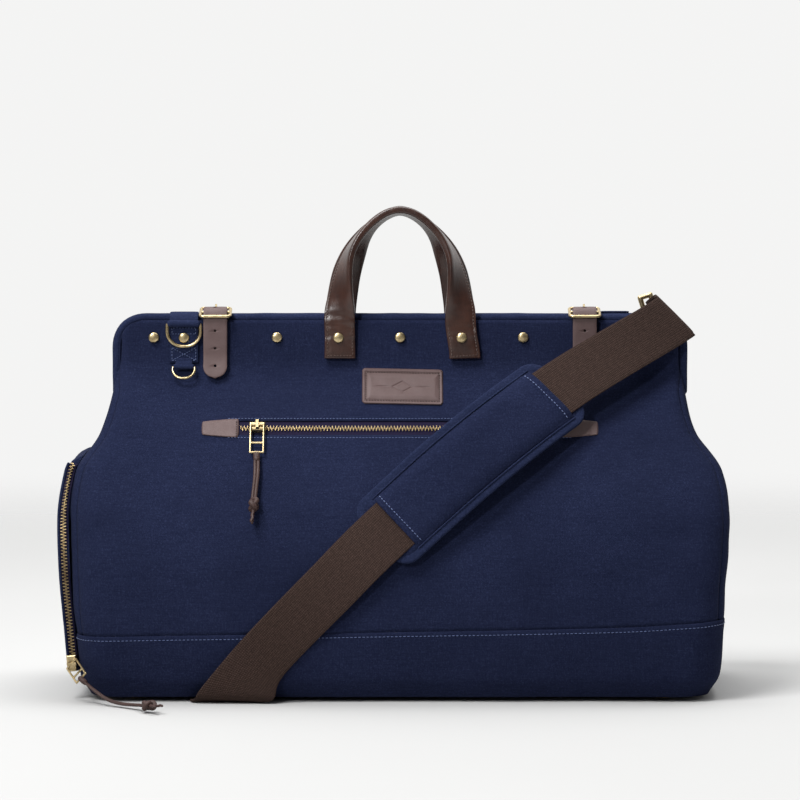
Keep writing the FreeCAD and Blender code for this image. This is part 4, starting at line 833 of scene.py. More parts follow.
def rim_path(low, high, radius):
    """Up one side, over the top and down the other, in the middle of the rim's box."""
    y = (low.y + high.y) / 2
    w, top = high.x - radius, high.z - radius
    path = [(-w, y, low.z), (-w, y, top - RIM_CORNER)]
    for side, start in ((-1, 180), (1, 90)):
        for angle in range(start, start - 91, -10):
            a = math.radians(angle)
            x = side * (w - RIM_CORNER) + RIM_CORNER * math.cos(a)
            path.append((x, y, top - RIM_CORNER + RIM_CORNER * math.sin(a)))
    return evenly(path + [(w, y, low.z)], mm(4))


def rims():
    """The canvas-covered edges, each with the seam ridge of its cover along the outside."""
    for word, body, side in (("front", "bag", -1), ("rear", "rear_mouth", 1)):
        points = node_points(f"{word}_rim")
        low, high = Vector(points.min(0)), Vector(points.max(0))
        radius = (high.y - low.y) / 2
        if word == "front":
            low.z = RIM_FOOT
        path = rim_path(low, high, radius)
        roll = tube(f"{word}_rim_roll", path, radius, EDGE_NAVY, sides=20)
        for vertex in roll.data.vertices:
            vertex.co *= 1 + 0.0012 * noise.noise(vertex.co * 60)
        settle(roll, body, "canvas", f"{word}_rim")
        out = np.array((0, side * radius * RIDGE_OUT, 0))
        ridge = [p + out + inward(p) * radius * RIDGE_IN for p in path]
        settle(tube(f"{word}_rim_seam", ridge, RIDGE_RADIUS, NAVY, sides=8), body, "canvas")


def inward(point):
    """The direction from a place on the mouth's rim towards the middle of the mouth."""
    side = math.copysign(1.0, point[0])
    if abs(point[0]) < RIM_TURN.x - mm(2.6):
        away = np.array((0.0, 0.0, 1.0))
    elif point[2] < RIM_TURN.z - mm(0.2):
        away = np.array((side, 0.0, 0.0))
    else:
        away = np.array((point[0] - side * RIM_TURN.x, 0.0, point[2] - RIM_TURN.z))
    return -away / np.linalg.norm(away)


def mouth_pleats():
    """The cloth pleat at each end of the mouth, folded in between the two bars."""
    low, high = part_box("front_gusset_folds")
    rear_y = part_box("rear_gusset_folds")[1].y
    pieces = []
    for side in (-1, 1):

        def at(u, v):
            x = high.x - PLEAT_REACH * v * (1 - abs(u)) * (0.98 + 0.02 * math.cos(9 * v))
            return Vector((side * x, rear_y * u, low.z + (high.z - low.z) * v))

        pieces.append(surface("pleat", at, spread(-1, 1, 25), spread(0.02, 1, 22), NAVY, flip=side < 0))
    start, end = ((0, y, HINGE.z) for y in (-rear_y, rear_y))
    folds = ("front_gusset_folds", "rear_gusset_folds")
    bridge(merged("mouth_pleats", pieces), "bag", "rear_mouth", start, end, "canvas", *folds)


# ---------------------------------------------------------------- rivets
RIVET_HEAD, RIVET_DOME = mm(4.85, 2.0)  # the head's radius and the height of its dome


def lathe(name, places, profile, material, sides=28):
    """Turned pieces facing along Y: profile gives radius and height, places (point, direction)."""
    points, faces = [], []
    for (x, y, z), side in places:
        closed = tube_faces(len(profile), sides, len(points))
        faces += closed[:-2] + closed[-1:]
        for radius, height in profile:
            for a, b in circle(radius, sides):
                points.append((x + a * -side, y + side * height, z + b))
    return mesh_piece(name, points, faces, material)


def solids_along_x(node, gap=mm(10)):
    """The separate solids of a node that stand side by side along X, as arrays of points."""
    points = node_points(node)
    points = points[np.argsort(points[:, 0])]
    breaks = np.where(np.diff(points[:, 0]) > gap)[0] + 1
    return np.split(points, breaks)


def rivets():
    """Domed brass heads with a rolled edge, where the CAD rivets stand."""
    head, dome = RIVET_HEAD, RIVET_DOME
    profile = [(head * 0.9, mm(-0.3)), (head, 0), (head * 1.01, dome * 0.22), (head * 0.95, dome * 0.42)]
    for angle in range(20, 90, 14):
        a = math.radians(angle)
        profile.append((head * 0.93 * math.cos(a), dome * (0.42 + 0.58 * math.sin(a))))
    profile.append((head * 0.02, dome))
    for word, body, side in (("front", "bag", -1), ("rear", "rear_mouth", 1)):
        places = []
        for solid in solids_along_x(f"{word}_rivets"):
            middle = (solid.min(0) + solid.max(0)) / 2
            face = abs(solid[:, 1]).max() - dome
            places.append(((middle[0], side * face, middle[2]), side))
        settle(lathe(f"{word}_rivet_heads", places, profile, BRASS), body, "brass", f"{word}_rivets")


# ---------------------------------------------------------------- bands: straps and tabs
class Band:
    """A strap through pairs of edge points: (left, right) as one looks at its outer face, going along."""

    def __init__(self, pairs, steps=10):
        left, right = (spline([pair[k] for pair in pairs], steps) for k in (0, 1))
        self.steps = steps
        self.middle = (left + right) / 2
        self.half = np.linalg.norm(right - left, axis=1) / 2
        self.across = (right - left) / (2 * self.half[:, None])
        self.normal = np.cross(self.across, np.gradient(self.middle, axis=0))
        self.normal /= np.linalg.norm(self.normal, axis=1)[:, None]
        spans = np.linalg.norm(np.diff(self.middle, axis=0), axis=1)
        self.along = np.concatenate([[0], np.cumsum(spans)])
        self.length = float(self.along[-1])

    def station(self, number):
        """How far along the band one of its pairs of edge points is."""
        return float(self.along[number * self.steps])

    def mix(self, rows, v):
        i = int(np.clip(np.searchsorted(self.along, v) - 1, 0, len(self.along) - 2))
        share = (v - self.along[i]) / (self.along[i + 1] - self.along[i])
        return rows[i] * (1 - share) + rows[i + 1] * share

    def at(self, u, v, lift=0.0):
        """The point u metres across from the middle, v metres along and lift off the middle plane."""
        return self.mix(self.middle, v) + self.mix(self.across, v) * u + self.mix(self.normal, v) * lift


def rounded_section(half_width, half_skin, count=28, sharp=0.3):
    """A flat strap's cross-section with rounded edges, as (across, out) pairs."""
    section = []
    for c, s in circle(1.0, count):
        across, out = math.copysign(abs(c) ** sharp, c), math.copysign(abs(s) ** 0.5, s)
        section.append((half_width * across, half_skin * out))
    return section


def strap_mesh(name, band, skin, material, step=mm(2.5), half_of=None, wobble=0.0, count=28):
    """A band as a closed strap; half_of(v) gives its half width where that isn't the band's own."""
    marks = np.linspace(0, band.length, max(3, int(band.length / step)))
    points, cloth = [], []
    for v in marks:
        half = half_of(v) if half_of else float(band.mix(band.half, v))
        drift = wobble * noise.noise((v * 9, 3.1, 0))
        for u, lift in rounded_section(half, skin / 2, count):
            ripple = wobble * noise.noise((u * 30, v * 22, 7.7))
            points.append(band.at(u + drift, v, lift + ripple))
            cloth.append((u, v, 0))
    return mesh_piece(name, points, tube_faces(len(marks), count), material, cloth)


def upright_band(x, line, half):
    """A band that runs along a line in the YZ plane, drawn in millimetres, with its outer face outwards."""
    return Band([((x - half, *mm(y, z)), (x + half, *mm(y, z))) for y, z in line])


# ---------------------------------------------------------------- closing straps
CLOSING_LINE = [
    (18.9, 312), (18.6, 330), (17.6, 339.5), (14, 345.6), (9, 348.6), (3.5, 349), (-3, 349.8), (-8.5, 352),
    (-12, 353.3), (-17.2, 351.6), (-20.6, 345.8), (-21.3, 338), (-21.3, 320), (-21.6, 306), (-28, 289),
]
CLOSING_HALF = mm(11)
CLOSING_SKIN = mm(2.2)
CLOSING_POINT = mm(13)  # the length of the strap's pointed end
TONGUE_HOLES = mm(332.5, 316.2, 300.2)


def closing_strap(word):
    """One leather strap from the rear of the frame over the mouth, through its buckle and down the front."""
    x = sum(corner.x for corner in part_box(f"{word}_strap_tail")) / 2
    band = upright_band(x, CLOSING_LINE, CLOSING_HALF)

    def half_of(v):
        left = (band.length - v) / CLOSING_POINT
        return CLOSING_HALF * (1 if left >= 1 else (1 - (1 - left) ** 2.3) ** 0.56 + 0.02)

    strap = strap_mesh(f"{word}_closing_strap", band, CLOSING_SKIN, STRAP_HIDE, mm(2), half_of, mm(0.35))
    holes = [([(x, y, z) for y in mm(-40, -30, 0)], mm(1.25)) for z in TONGUE_HOLES]
    holes.append(([(x, mm(-14), z) for z in mm(340, 352, 362)], mm(2.3)))
    punch = merged("punches", [tube("punch", path, radius, STRAP_HIDE) for path, radius in holes])
    modify(strap, "BOOLEAN", operation="DIFFERENCE", solver="EXACT", object=punch)
    modify(strap, "BEVEL", width=mm(0.25), segments=1, limit_method="ANGLE")
    applied(strap)
    bpy.data.objects.remove(punch)
    return strap


def closing_straps():
    start, end = (0, mm(-3), mm(349)), (0, mm(16), mm(349))
    for word, more in (("left", ["strap_roots"]), ("right", [])):
        strap = closing_strap(word)
        bridge(strap, "bag", "rear_mouth", start, end, "strap_leather", f"{word}_strap_tail", *more)


# ---------------------------------------------------------------- handles
# From a foot to the crown: x, z, width, thickness and turn of the flat strap in degrees.
# The front handle has twisted over further than the rear one, which shows inside it.
FRONT_HANDLE_HALF = [
    (55.6, 306.8, 28.8, 4.4, 0),
    (55.6, 326, 28.2, 4.8, 0),
    (55.9, 347, 28.4, 5.0, 6),
    (54.7, 366, 26.2, 5.4, 32),
    (52.6, 385, 25.0, 5.8, 53),
    (48.6, 401, 24.0, 6.4, 69),
    (42.4, 413.5, 23.0, 6.8, 79),
    (34.0, 424.6, 22.0, 7.2, 85),
    (23.0, 434.8, 21.0, 7.4, 89),
    (11.5, 441.8, 20.5, 7.2, 90),
    (0.0, 444.2, 20.5, 7.0, 90),
]
REAR_HANDLE_HALF = [
    (55.6, 306.8, 28.8, 4.4, 0),
    (55.6, 326, 28.2, 4.8, 0),
    (55.5, 347, 28.5, 5.0, 0),
    (53.2, 366, 28.0, 5.4, 8),
    (49.5, 385, 27.5, 6.0, 20),
    (43.0, 403, 26.5, 6.8, 38),
    (35.0, 418.5, 25.0, 7.8, 60),
    (25.0, 430.5, 23.0, 8.8, 75),
    (12.8, 439, 22.0, 9.4, 84),
    (0.0, 442.3, 21.5, 9.6, 90),
]
HANDLE_Y = mm(-19.8)
HANDLE_LEAN = mm(7)
HANDLE_ARCH_FOOT = mm(347)
HANDLE_BEND = mm(339, 348)  # two heights up a handle
HANDLE_FLAT = mm(4.6)  # the strap's thickness outside its rolled edge
FOOT_SPLAY = mm(4.5)  # the right foot's bottom was sewn on this much further out
SEWING_INSET = mm(2.6)
SEWN_TURN = 62  # degrees of turn at which the outer edge's stitching ends
FOOT_LOW, FOOT_HIGH = 309, 338  # heights of a foot's stitching, in millimetres as in the stations


class Handle:
    """A handle's stations in the front handle's place, from the left foot over the crown to the right."""

    def __init__(self, half, splayed):
        rows = [(-x, z, w, k, turn) for x, z, w, k, turn in half]
        self.rows = spline(rows + half[-2::-1], 14)
        points = []
        crown = mm(half[-1][1])
        for x, z, *_ in self.rows / 1000:
            share = smoothstep(HANDLE_ARCH_FOOT, crown, z)
            splay = splayed * (1 - smoothstep(*mm(306, 344), z)) if x > 0 else 0
            points.append((x + splay, HANDLE_Y + HANDLE_LEAN * share, z))
        self.middle = np.array(points)
        run = np.gradient(self.middle, axis=0)
        self.run = run / np.linalg.norm(run, axis=1)[:, None]

    def half_width(self, i):
        return self.rows[i][2] / 2000

    def at(self, i, across, out):
        """A point of station i: across from the middle towards the outer edge, and out of the front face."""
        turn = math.radians(self.rows[i][4])
        outward = np.cross(self.run[i], (0, 1, 0))
        side = outward * math.cos(turn) + np.array((0, 1, 0)) * math.sin(turn)
        face = np.cross(self.run[i], side)
        face /= np.linalg.norm(face)
        return self.middle[i] + side * across + face * out


def handle_piece(name, handle):
    """The leather strap, rolled over a core along its inner edge and flat at its outer one."""
    count = 40
    points = []
    for i, (_, z, _, k, _) in enumerate(handle.rows):
        half, skin = handle.half_width(i), k / 1000
        crease = smoothstep(304, 320, z) * (1 - smoothstep(338, 372, z))
        for a, b in rounded_section(half, 1.0, count, 0.32):
            rolled = 1 - smoothstep(-0.75, 0.35, a / half)
            out = b * (min(skin, HANDLE_FLAT) + max(0.0, skin - HANDLE_FLAT) * rolled) / 2
            wrinkle = mm(0.75) * crease * noise.noise((handle.at(i, a, 0)[0] * 90, 2.0, z * 0.16))
            groove = mm(0.5) * bell(half - a - SEWING_INSET, mm(1.2)) * (b > 0)
            points.append(handle.at(i, a, out + wrinkle - groove))
    return mesh_piece(name, points, tube_faces(len(handle.rows), count), HANDLE_HIDE)


def handle_stitch_lines(handle):
    """Along each leg's outer edge as far as the roll, across its foot and a little up its inner edge."""
    rows, lines = handle.rows, []
    legs = [i for i in range(len(rows)) if rows[i][4] < SEWN_TURN]
    middle = len(rows) // 2
    for leg in ([i for i in legs if i < middle][::-1], [i for i in legs if i > middle]):
        outer = [handle.at(i, handle.half_width(i) - SEWING_INSET, mm(2.15)) for i in leg]
        foot = [i for i in leg if rows[i][1] < FOOT_HIGH]
        inner = [handle.at(i, SEWING_INSET - handle.half_width(i), mm(2.35)) for i in foot]
        end = [i for i in foot if rows[i][1] > FOOT_LOW]
        half = handle.half_width(end[-1]) - SEWING_INSET
        across = [handle.at(end[-1], half * s, mm(2.35)) for s in np.linspace(1, -1, 8)]
        lines += [outer[: len(leg) - len(foot) + len(end)], across, inner[: len(end)]]
    return lines


def handles():
    for word, body, grip, y, half, splayed in (
        ("front", "bag", "front_grip", HANDLE_Y, FRONT_HANDLE_HALF, FOOT_SPLAY),
        ("rear", "rear_mouth", "rear_grip", -HANDLE_Y, REAR_HANDLE_HALF, 0),
    ):
        handle = Handle(half, splayed)
        strap = handle_piece(f"{word}_handle_strap", handle)
        lines = handle_stitch_lines(handle)
        sewing = stitches(f"{word}_handle_stitches", lines, SADDLE_THREAD, mm(3.0))
        if word == "rear":
            for piece in (strap, sewing):
                piece.data.transform(HALF_TURN)
        start, end = ((0, y, z) for z in HANDLE_BEND)
        nodes = (f"{word}_handle", f"{word}_handle_tabs")
        bridge(strap, body, grip, start, end, "handle_leather", *nodes)
        bridge(sewing, body, grip, start, end)


# ---------------------------------------------------------------- ring tabs
TAB_LINE = [
    (-4, 348.6), (-9.5, 348.4), (-15.2, 345.8), (-18.2, 341), (-18.7, 334), (-18.7, 318), (-18.7, 302.5),
]
TAB_HALF = mm(13.2)
TAB_SKIN = mm(1.8)
TAB_FACE = mm(-20.15)
CROSSED_BOX, UPPER_BOX = mm(305, 316.5), mm(329.5, 335)  # the foot and top of each box of stitching


def tab_stitch_lines(x):
    """Two stitched boxes on the tab at x, the lower one crossed."""
    left, right = x - TAB_HALF + mm(2.2), x + TAB_HALF - mm(2.2)
    lines = []
    for low, high in (CROSSED_BOX, UPPER_BOX):
        places = ((left, high), (left, low), (right, low), (right, high))
        corners = [(across, TAB_FACE, z) for across, z in places]
        lines += zip(corners, corners[1:] + corners[:1])
    low, high = CROSSED_BOX
    lines.append([(left, TAB_FACE, high), (right, TAB_FACE, low)])
    lines.append([(left, TAB_FACE, low), (right, TAB_FACE, high)])
    return lines


def ring_tab():
    """A folded canvas tab over the rim, its two sleeves round the rings' bars, and its box stitching."""
    x = sum(corner.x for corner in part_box("front_ring_tab")) / 2
    large, small = joint_place("front_ring_swing"), joint_place("front_little_ring_swing")
    pieces = [strap_mesh("strip", upright_band(x, TAB_LINE, TAB_HALF), TAB_SKIN, EDGE_NAVY, mm(2))]
    for bar, half, radius in ((large, TAB_HALF - mm(0.6), mm(3.1)), (small, mm(8), mm(2.3))):
        run = [(x + half * s, bar.y, bar.z) for s in np.linspace(-1, 1, 12)]
        pieces.append(tube("sleeve", run, radius, EDGE_NAVY, flatten=1.1))
    arm_line = [(-19.4, 307), (-20.6, 303.5), (small.y * 1000 - 0.3, small.z * 1000 + 1.8)]
    pieces.append(strap_mesh("arm", upright_band(x, arm_line, mm(7.8)), TAB_SKIN, EDGE_NAVY, mm(1)))
    tab = merged("front_tab_cloth", pieces)
    sewing = stitches("front_tab_stitches", tab_stitch_lines(x), BLUE_THREAD, mm(2.6), mm(0.3))
    rear, rear_sewing = behind(tab, "rear_tab_cloth"), behind(sewing, "rear_tab_stitches")
    settle(tab, "bag", "canvas", "front_ring_tab")
    settle(sewing, "bag")
    settle(rear, "rear_mouth", "canvas", "rear_ring_tab")
    settle(rear_sewing, "rear_mouth")


# ---------------------------------------------------------------- patch and front zip
PATCH_TILT = 0.02  # it was sewn on with its right end a little low
PATCH_CORNER, PATCH_BORDER = mm(3), mm(3.4)
TOOTH_PITCH, TOOTH_REACH = mm(3.0), mm(2.7)
TAB_HALF_LONG = mm(17)
ZIP_MARGIN = mm(6)  # the chain ends this far inside the slot, and the stitching this far outside it
ROW_ABOVE, ROW_BELOW = mm(3.2, 3.0)  # from the slot's edges to the rows of stitching


def leather_patch():
    """A sewn leather label with a padded middle and a plain pressed lozenge between two lines."""
    low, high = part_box("leather_patch")
    middle, half_w, half_z = (low + high) / 2, (high.x - low.x) / 2 + mm(2.4), (high.z - low.z) / 2
    middle.x += mm(1.6)

    def place(x, z, lift):
        return front_place(middle.x + x, middle.z + z - x * PATCH_TILT, lift)

    def past_corner(x, z):
        """How far a place is past the starts of the rounded corner, and past its arc."""
        dx, dz = abs(x) - half_w + PATCH_CORNER, abs(z) - half_z + PATCH_CORNER
        return dx, dz, math.hypot(max(dx, 0), max(dz, 0)) - PATCH_CORNER

    def at(u, v):
        x, z = u * half_w, v * half_z
        pull = max(0.0, past_corner(x, z)[2]) * 0.7
        x -= math.copysign(pull, x)
        z -= math.copysign(pull, z)
        dx, dz, past = past_corner(x, z)
        inside = -past - min(max(dx, dz), 0)
        lift = mm(2.6) * smoothstep(*mm(-0.2, 1.2), inside)
        lift -= mm(0.75) * bell(inside - PATCH_BORDER, mm(0.9))
        lift += mm(1.5) * smoothstep(PATCH_BORDER, PATCH_BORDER + mm(5), inside)
        lozenge = bell((abs(x) / mm(9) + abs(z) / mm(4.5) - 1) * mm(6), mm(0.8))
        lines = math.exp(-(((abs(x) - mm(19)) / mm(7)) ** 4)) * bell(abs(z), mm(0.7))
        return place(x, z, lift - mm(0.9) * (lozenge + lines))

    label = surface("label_patch", at, spread(-1, 1, 141), spread(-1, 1, 71), STRAP_HIDE)
    settle(label, "bag", "strap_leather", "leather_patch")
    w, h = half_w - PATCH_BORDER, half_z - PATCH_BORDER
    corners = [(-w, -h), (w, -h), (w, h), (-w, h)]
    lines = []
    for (x0, z0), (x1, z1) in zip(corners, corners[1:] + corners[:1]):
        run = [(x0 + (x1 - x0) * s, z0 + (z1 - z0) * s) for s in spread(0, 1, 20)]
        lines.append([place(x, z, mm(2.4)) for x, z in run])
    settle(stitches("patch_stitches", lines, DARK_THREAD, mm(2.6), mm(0.5)), "bag")


def zip_teeth(name, path, out):
    """Two rows of brass teeth that mesh along a path; out(point) is the way they face."""
    places = evenly(path, TOOTH_PITCH / 2)
    runs = np.gradient(places, axis=0)
    points, faces = [], []
    for k, (place, run) in enumerate(zip(places, runs)):
        run = run / np.linalg.norm(run)
        up = np.array(out(place), float)
        across = np.cross(run, up) * (1 if k % 2 else -1)
        faces += tube_faces(3, 6, len(points))
        for along, scale in ((mm(-0.9), 0.62), (mm(0.2), 1.0), (TOOTH_REACH, 1.0)):
            for a, b in circle(mm(0.56) * scale, 6):
                points.append(place + across * along + run * a + up * (b * 1.3))
    return mesh_piece(name, points, faces, TOOTH_BRASS, smooth=False)


def front_zip():
    up = Vector((0, math.sin(LEAN), math.cos(LEAN)))
    out = Vector((0, -math.cos(LEAN), math.sin(LEAN)))
    origin = Vector((0, -depth_at(ZIP_Z), ZIP_Z))
    low, high = CHAIN_RISE - SLOT_REACH, CHAIN_RISE + SLOT_REACH

    def place(x, rise, proud):
        return Vector((x, 0, 0)) + origin + up * rise + out * proud

    def tape_at(x, rise):
        return place(x, rise, mm(0.5) * bell(rise - CHAIN_RISE, mm(4)) - mm(1.9))

    rows = spread(low - mm(3), high + mm(3), 16)
    tape = surface("front_zip_tape", tape_at, spread(-ZIP_HALF, ZIP_HALF, 120), rows, TAPE)
    settle(thicken(tape, mm(0.6)), "bag", "zip_tape_cloth", "pocket_zip_tape")
    chain_half, sewn_half = ZIP_HALF - ZIP_MARGIN, ZIP_HALF + ZIP_MARGIN
    path = [place(x, CHAIN_RISE, mm(-0.5)) for x in spread(-chain_half, chain_half, 60)]
    settle(zip_teeth("front_zip_teeth", path, lambda p: out), "bag", "brass", "pocket_zip_chain")
    lines = []
    for z in (zip_height(high + ROW_ABOVE), zip_height(low - ROW_BELOW)):
        lines.append([front_place(x, z, mm(0.25)) for x in spread(-sewn_half, sewn_half, 90)])
    settle(stitches("front_zip_stitches", lines, BLUE_THREAD, mm(3.0)), "bag")
    zip_tabs()


def zip_tabs():
    """A leather end stop at each end of the zip: a rounded wedge, sewn down beside the chain."""
    tabs, lines = [], []
    low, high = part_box("pocket_zip_tabs")
    for side, outer in ((-1, low.x), (1, high.x)):

        def place(u, v, lift=mm(2.0)):
            x = outer - side * TAB_HALF_LONG + side * TAB_HALF_LONG * u * (1 - 0.05 * v**4)
            rise = CHAIN_RISE + (mm(9.4) - mm(1.6) * u) * v * (1 - 0.06 * abs(u) ** 5)
            edge = min(1.0, (1 - abs(u)) * 12, (1 - abs(v)) * 8)
            return front_place(x, zip_height(rise), lift * math.sin(edge * math.pi / 2))

        tabs.append(surface("tab", place, spread(-1, 1, 45), spread(-1, 1, 31), STRAP_HIDE, flip=side < 0))
        lines.append([place(-0.88, v, mm(2.35)) for v in spread(-0.85, 0.85, 12)])
    settle(merged("zip_tabs_leather", tabs), "bag", "strap_leather", "pocket_zip_tabs")
    settle(stitches("zip_tab_stitches", lines, DARK_THREAD, mm(2.5), mm(0.48)), "bag")


# ---------------------------------------------------------------- end pocket
POCKET_LOW, POCKET_HIGH = mm(24, 219)
POCKET_OUT = mm(8.6)
POCKET_FACE = 0.84  # the face's share of the way across; the rest is the gussets
GUSSET_UPRIGHT, UPRIGHT_DEPTH = 0.3, 0.72  # the upright share of a gusset, and the depth that it takes up
ROUNDING = 0.035  # the share of its half width that the pocket loses as its gussets round over
pocket_half = smooth_curve([mm(24, 88), mm(118, 90), mm(165, 76), mm(200, 58), mm(219, 50)])
END_ZIP_MARKS = [  # height, and how far in from the front edge
    (28, 0), (74, 0), (118, 0), (165, 14), (200, 31.5), (212, 36),
]


def pocket_place(t, z):
    """A point of the end pocket's skin; t runs across it from the front gusset to the rear one."""
    hem = min(1.0, (z - POCKET_LOW) / mm(9), (POCKET_HIGH - z) / mm(9))
    closed = math.sin(max(hem, 0.0) * math.pi / 2) ** 0.7
    side = min(1.0, (1 - abs(t)) / (1 - POCKET_FACE))
    turned = 1 - (1 - max(0.0, side - GUSSET_UPRIGHT) / (1 - GUSSET_UPRIGHT)) ** 2
    upright = min(1.0, side / GUSSET_UPRIGHT)
    depth = POCKET_OUT * (UPRIGHT_DEPTH * upright + (1 - UPRIGHT_DEPTH) * turned)
    across = min(1.0, abs(t) / POCKET_FACE)
    y = math.copysign(pocket_half(z) * (1 - ROUNDING * turned) * across, t)
    puff = mm(2.6) * max(0.0, 1 - (abs(t) / POCKET_FACE) ** 2)
    puff *= smoothstep(POCKET_LOW, mm(70), z) * (1 - smoothstep(mm(150), POCKET_HIGH, z))
    wave = mm(0.8) * noise.noise((y * 28, z * 22, 5.5)) * (abs(t) < 0.8)
    return Vector((-(width_at(z) + (depth + puff + wave) * closed), y, z))


def end_pocket():
    rows = wall_rows(POCKET_LOW, POCKET_HIGH, mm(3), POCKET_LOW + mm(1), POCKET_HIGH - mm(1))
    piece = surface("end_pocket_cloth", pocket_place, spread(-1, 1, 121), rows, NAVY, flip=True)
    settle(piece, "bag", "canvas", "end_pocket")
    path = end_zip_path()
    tape = Band([(p + mm(-3.9, 0.9, 0), p + mm(4.2, 0.9, 0)) for p in path], 2)
    cloth = strap_mesh("end_zip_tape_cloth", tape, mm(0.8), TAPE, mm(3), count=16)
    settle(cloth, "bag", "zip_tape_cloth", "end_zip_tape")
    settle(zip_teeth("end_zip_teeth", path, end_zip_facing), "bag", "brass", "end_zip_chain")
    welt = tube("end_pocket_welt", path + mm(-4.4, 0.4, 0), mm(1.3), EDGE_NAVY, sides=10)
    settle(welt, "bag", "canvas")
    proud = Vector(mm(-0.2, 0, 0))
    heights = spread(POCKET_LOW + mm(12), POCKET_HIGH - mm(12), 60)
    lines = [[pocket_place(t, z) + proud for z in heights] for t in (-0.78, 0.78)]
    settle(stitches("end_pocket_stitches", lines, BLUE_THREAD), "bag")


def end_zip_path():
    """The middle of the end pocket's zip, up the front edge of the pocket."""
    marks = spline(END_ZIP_MARKS, 8) / 1000
    return np.array([(-(width_at(z) + mm(4.9)), mm(-91.6) + set_in, z) for z, set_in in marks])


def end_zip_facing(point):
    """The zip's teeth face the front, and outwards more as the pocket's edge turns in."""
    turn = 0.5 * smoothstep(*mm(130, 200), point[2])
    return (-math.sin(turn), -math.cos(turn), 0.0)


# ---------------------------------------------------------------- shoulder strap
STRAP_HALF = mm(25)
STRAP_SKIN = mm(2.4)
FOLD_MIDDLE = np.array(mm(240, 0, 332.5))
FOLD_RADIUS = mm(21)
FOLD_ANGLES = (-58, -28, 2, 32, 62)
HOOK_EYE = np.array(mm(242.6, 27.3, 337))
HOOK_AXIS, HOOK_BAR = np.array((-0.954, 0, -0.3)), np.array((0.3, 0, -0.954))
HOOK_LOOP = mm(5.2)  # from the hook's eye to the end of the sewn strap
STRAP_BEND = (0.1755, 0.206)  # from the origin, up and back
PAD_FROM, PAD_TO = 10, 12  # which stations of the route the pad lies between
PAD_HALF = mm(38)
PAD_SKIN = mm(7)
PAD_SEAM = mm(3)  # the stuffed body stops this far inside the bound edge
PAD_DROP = mm(5)  # how far behind the strap the pad's middle lies
BINDING_HALF = mm(4.6)
BINDING_HALF_SKIN = mm(2.7)
SLEEVE_HALF = mm(30.5)
SLEEVE_HEM = mm(6)
SLEEVE_LOW, SLEEVE_HIGH = mm(24, 16)  # how far inside the pad's lower and upper ends it stops


def lying(x, y, heading):
    """Edge points flat on the floor about x, y (in millimetres), for a strap that runs at heading degrees."""
    a = math.radians(heading)
    across = np.array((-math.sin(a), math.cos(a), 0)) * STRAP_HALF
    centre = np.array((*mm(x, y), STRAP_SKIN / 2 + mm(0.15)))
    return centre + across, centre - across


def standing(x, z, slope, off):
    """Edge points off the front wall about x, z (in millimetres), for a strap climbing at slope degrees."""
    a = math.radians(slope)
    pair = []
    for side in (STRAP_HALF, -STRAP_HALF):
        px, pz = mm(x) - side * math.sin(a), mm(z) + side * math.cos(a)
        pair.append(np.array((px, -depth_at(pz) - mm(off), pz)))
    return tuple(pair)


def folded(angle):
    """Edge points of the strap wrapped round the bag's top right corner, angle degrees from its ridge."""
    out, along = np.array((1, 0, 1)) / math.sqrt(2), np.array((1, 0, -1)) / math.sqrt(2)
    a = math.radians(angle)
    centre = FOLD_MIDDLE + out * FOLD_RADIUS * math.cos(a) + np.array((0, FOLD_RADIUS * math.sin(a), 0))
    return centre - along * STRAP_HALF, centre + along * STRAP_HALF


def free(left, right):
    """Edge points given in millimetres."""
    return np.array(mm(*left)), np.array(mm(*right))


def strap_route():
    """From the free end behind the bag, under it, up the front and over the right end to the ring hook."""
    sewn = HOOK_EYE - HOOK_AXIS * HOOK_LOOP
    return [
        lying(-278, 168, -90),
        lying(-278, 118, -90),
        lying(-273, 70, -83),
        lying(-251, 10, -66),
        lying(-210, -58, -56),
        free((-191, -113, 1.35), (-134, -96, 1.35)),
        free((-186, -125, 4), (-124, -120, 1.6)),
        free((-179, -130.5, 16), (-114, -130.5, 5)),
        standing(-122, 45, 46, 5),
        standing(-65, 104, 45.5, 6.5),
        standing(-20, 149, 44, 10.5),
        free((46, -106, 241), (82, -114, 206)),
        free((131, -60, 302), (167, -72, 267)),
        *(folded(angle) for angle in FOLD_ANGLES),
        (sewn - HOOK_BAR * STRAP_HALF, sewn + HOOK_BAR * STRAP_HALF),
    ]


def shoulder_strap(band):
    strap = strap_mesh("shoulder_webbing", band, STRAP_SKIN, WEBBING, mm(3), wobble=mm(0.3), count=32)
    away = Vector((0, 1, 0.7)).normalized()
    start, end = (away * far for far in STRAP_BEND)
    bridge(strap, "bag", "rear_mouth", start, end, "webbing", "shoulder_strap", "strap_end")


def pad_outline(half, length, corner=mm(13)):
    """A rounded outline along Y from 0, as points with their outward directions."""
    outline = []
    x, y = half - corner, length - corner
    for cx, cy, begin in ((x, y, 0), (-x, y, 90), (-x, corner, 180), (x, corner, 270)):
        for angle in range(begin, begin + 91, 9):
            a = math.radians(angle)
            outline.append((cx + corner * math.cos(a), cy + corner * math.sin(a), math.cos(a), math.sin(a)))
    dense = []
    for a, b in zip(outline, outline[1:] + outline[:1]):
        count = max(1, int(math.hypot(b[0] - a[0], b[1] - a[1]) / mm(3)))
        for k in range(count):
            dense.append(tuple(p + (q - p) * k / count for p, q in zip(a, b)))
    return dense


def loop_faces(rings, sides):
    """Faces along rings whose last one meets the first."""
    last = (rings - 1) * sides
    closing = [(last + k, last + (k + 1) % sides, (k + 1) % sides, k) for k in range(sides)]
    return grid_faces(rings, sides, True) + closing


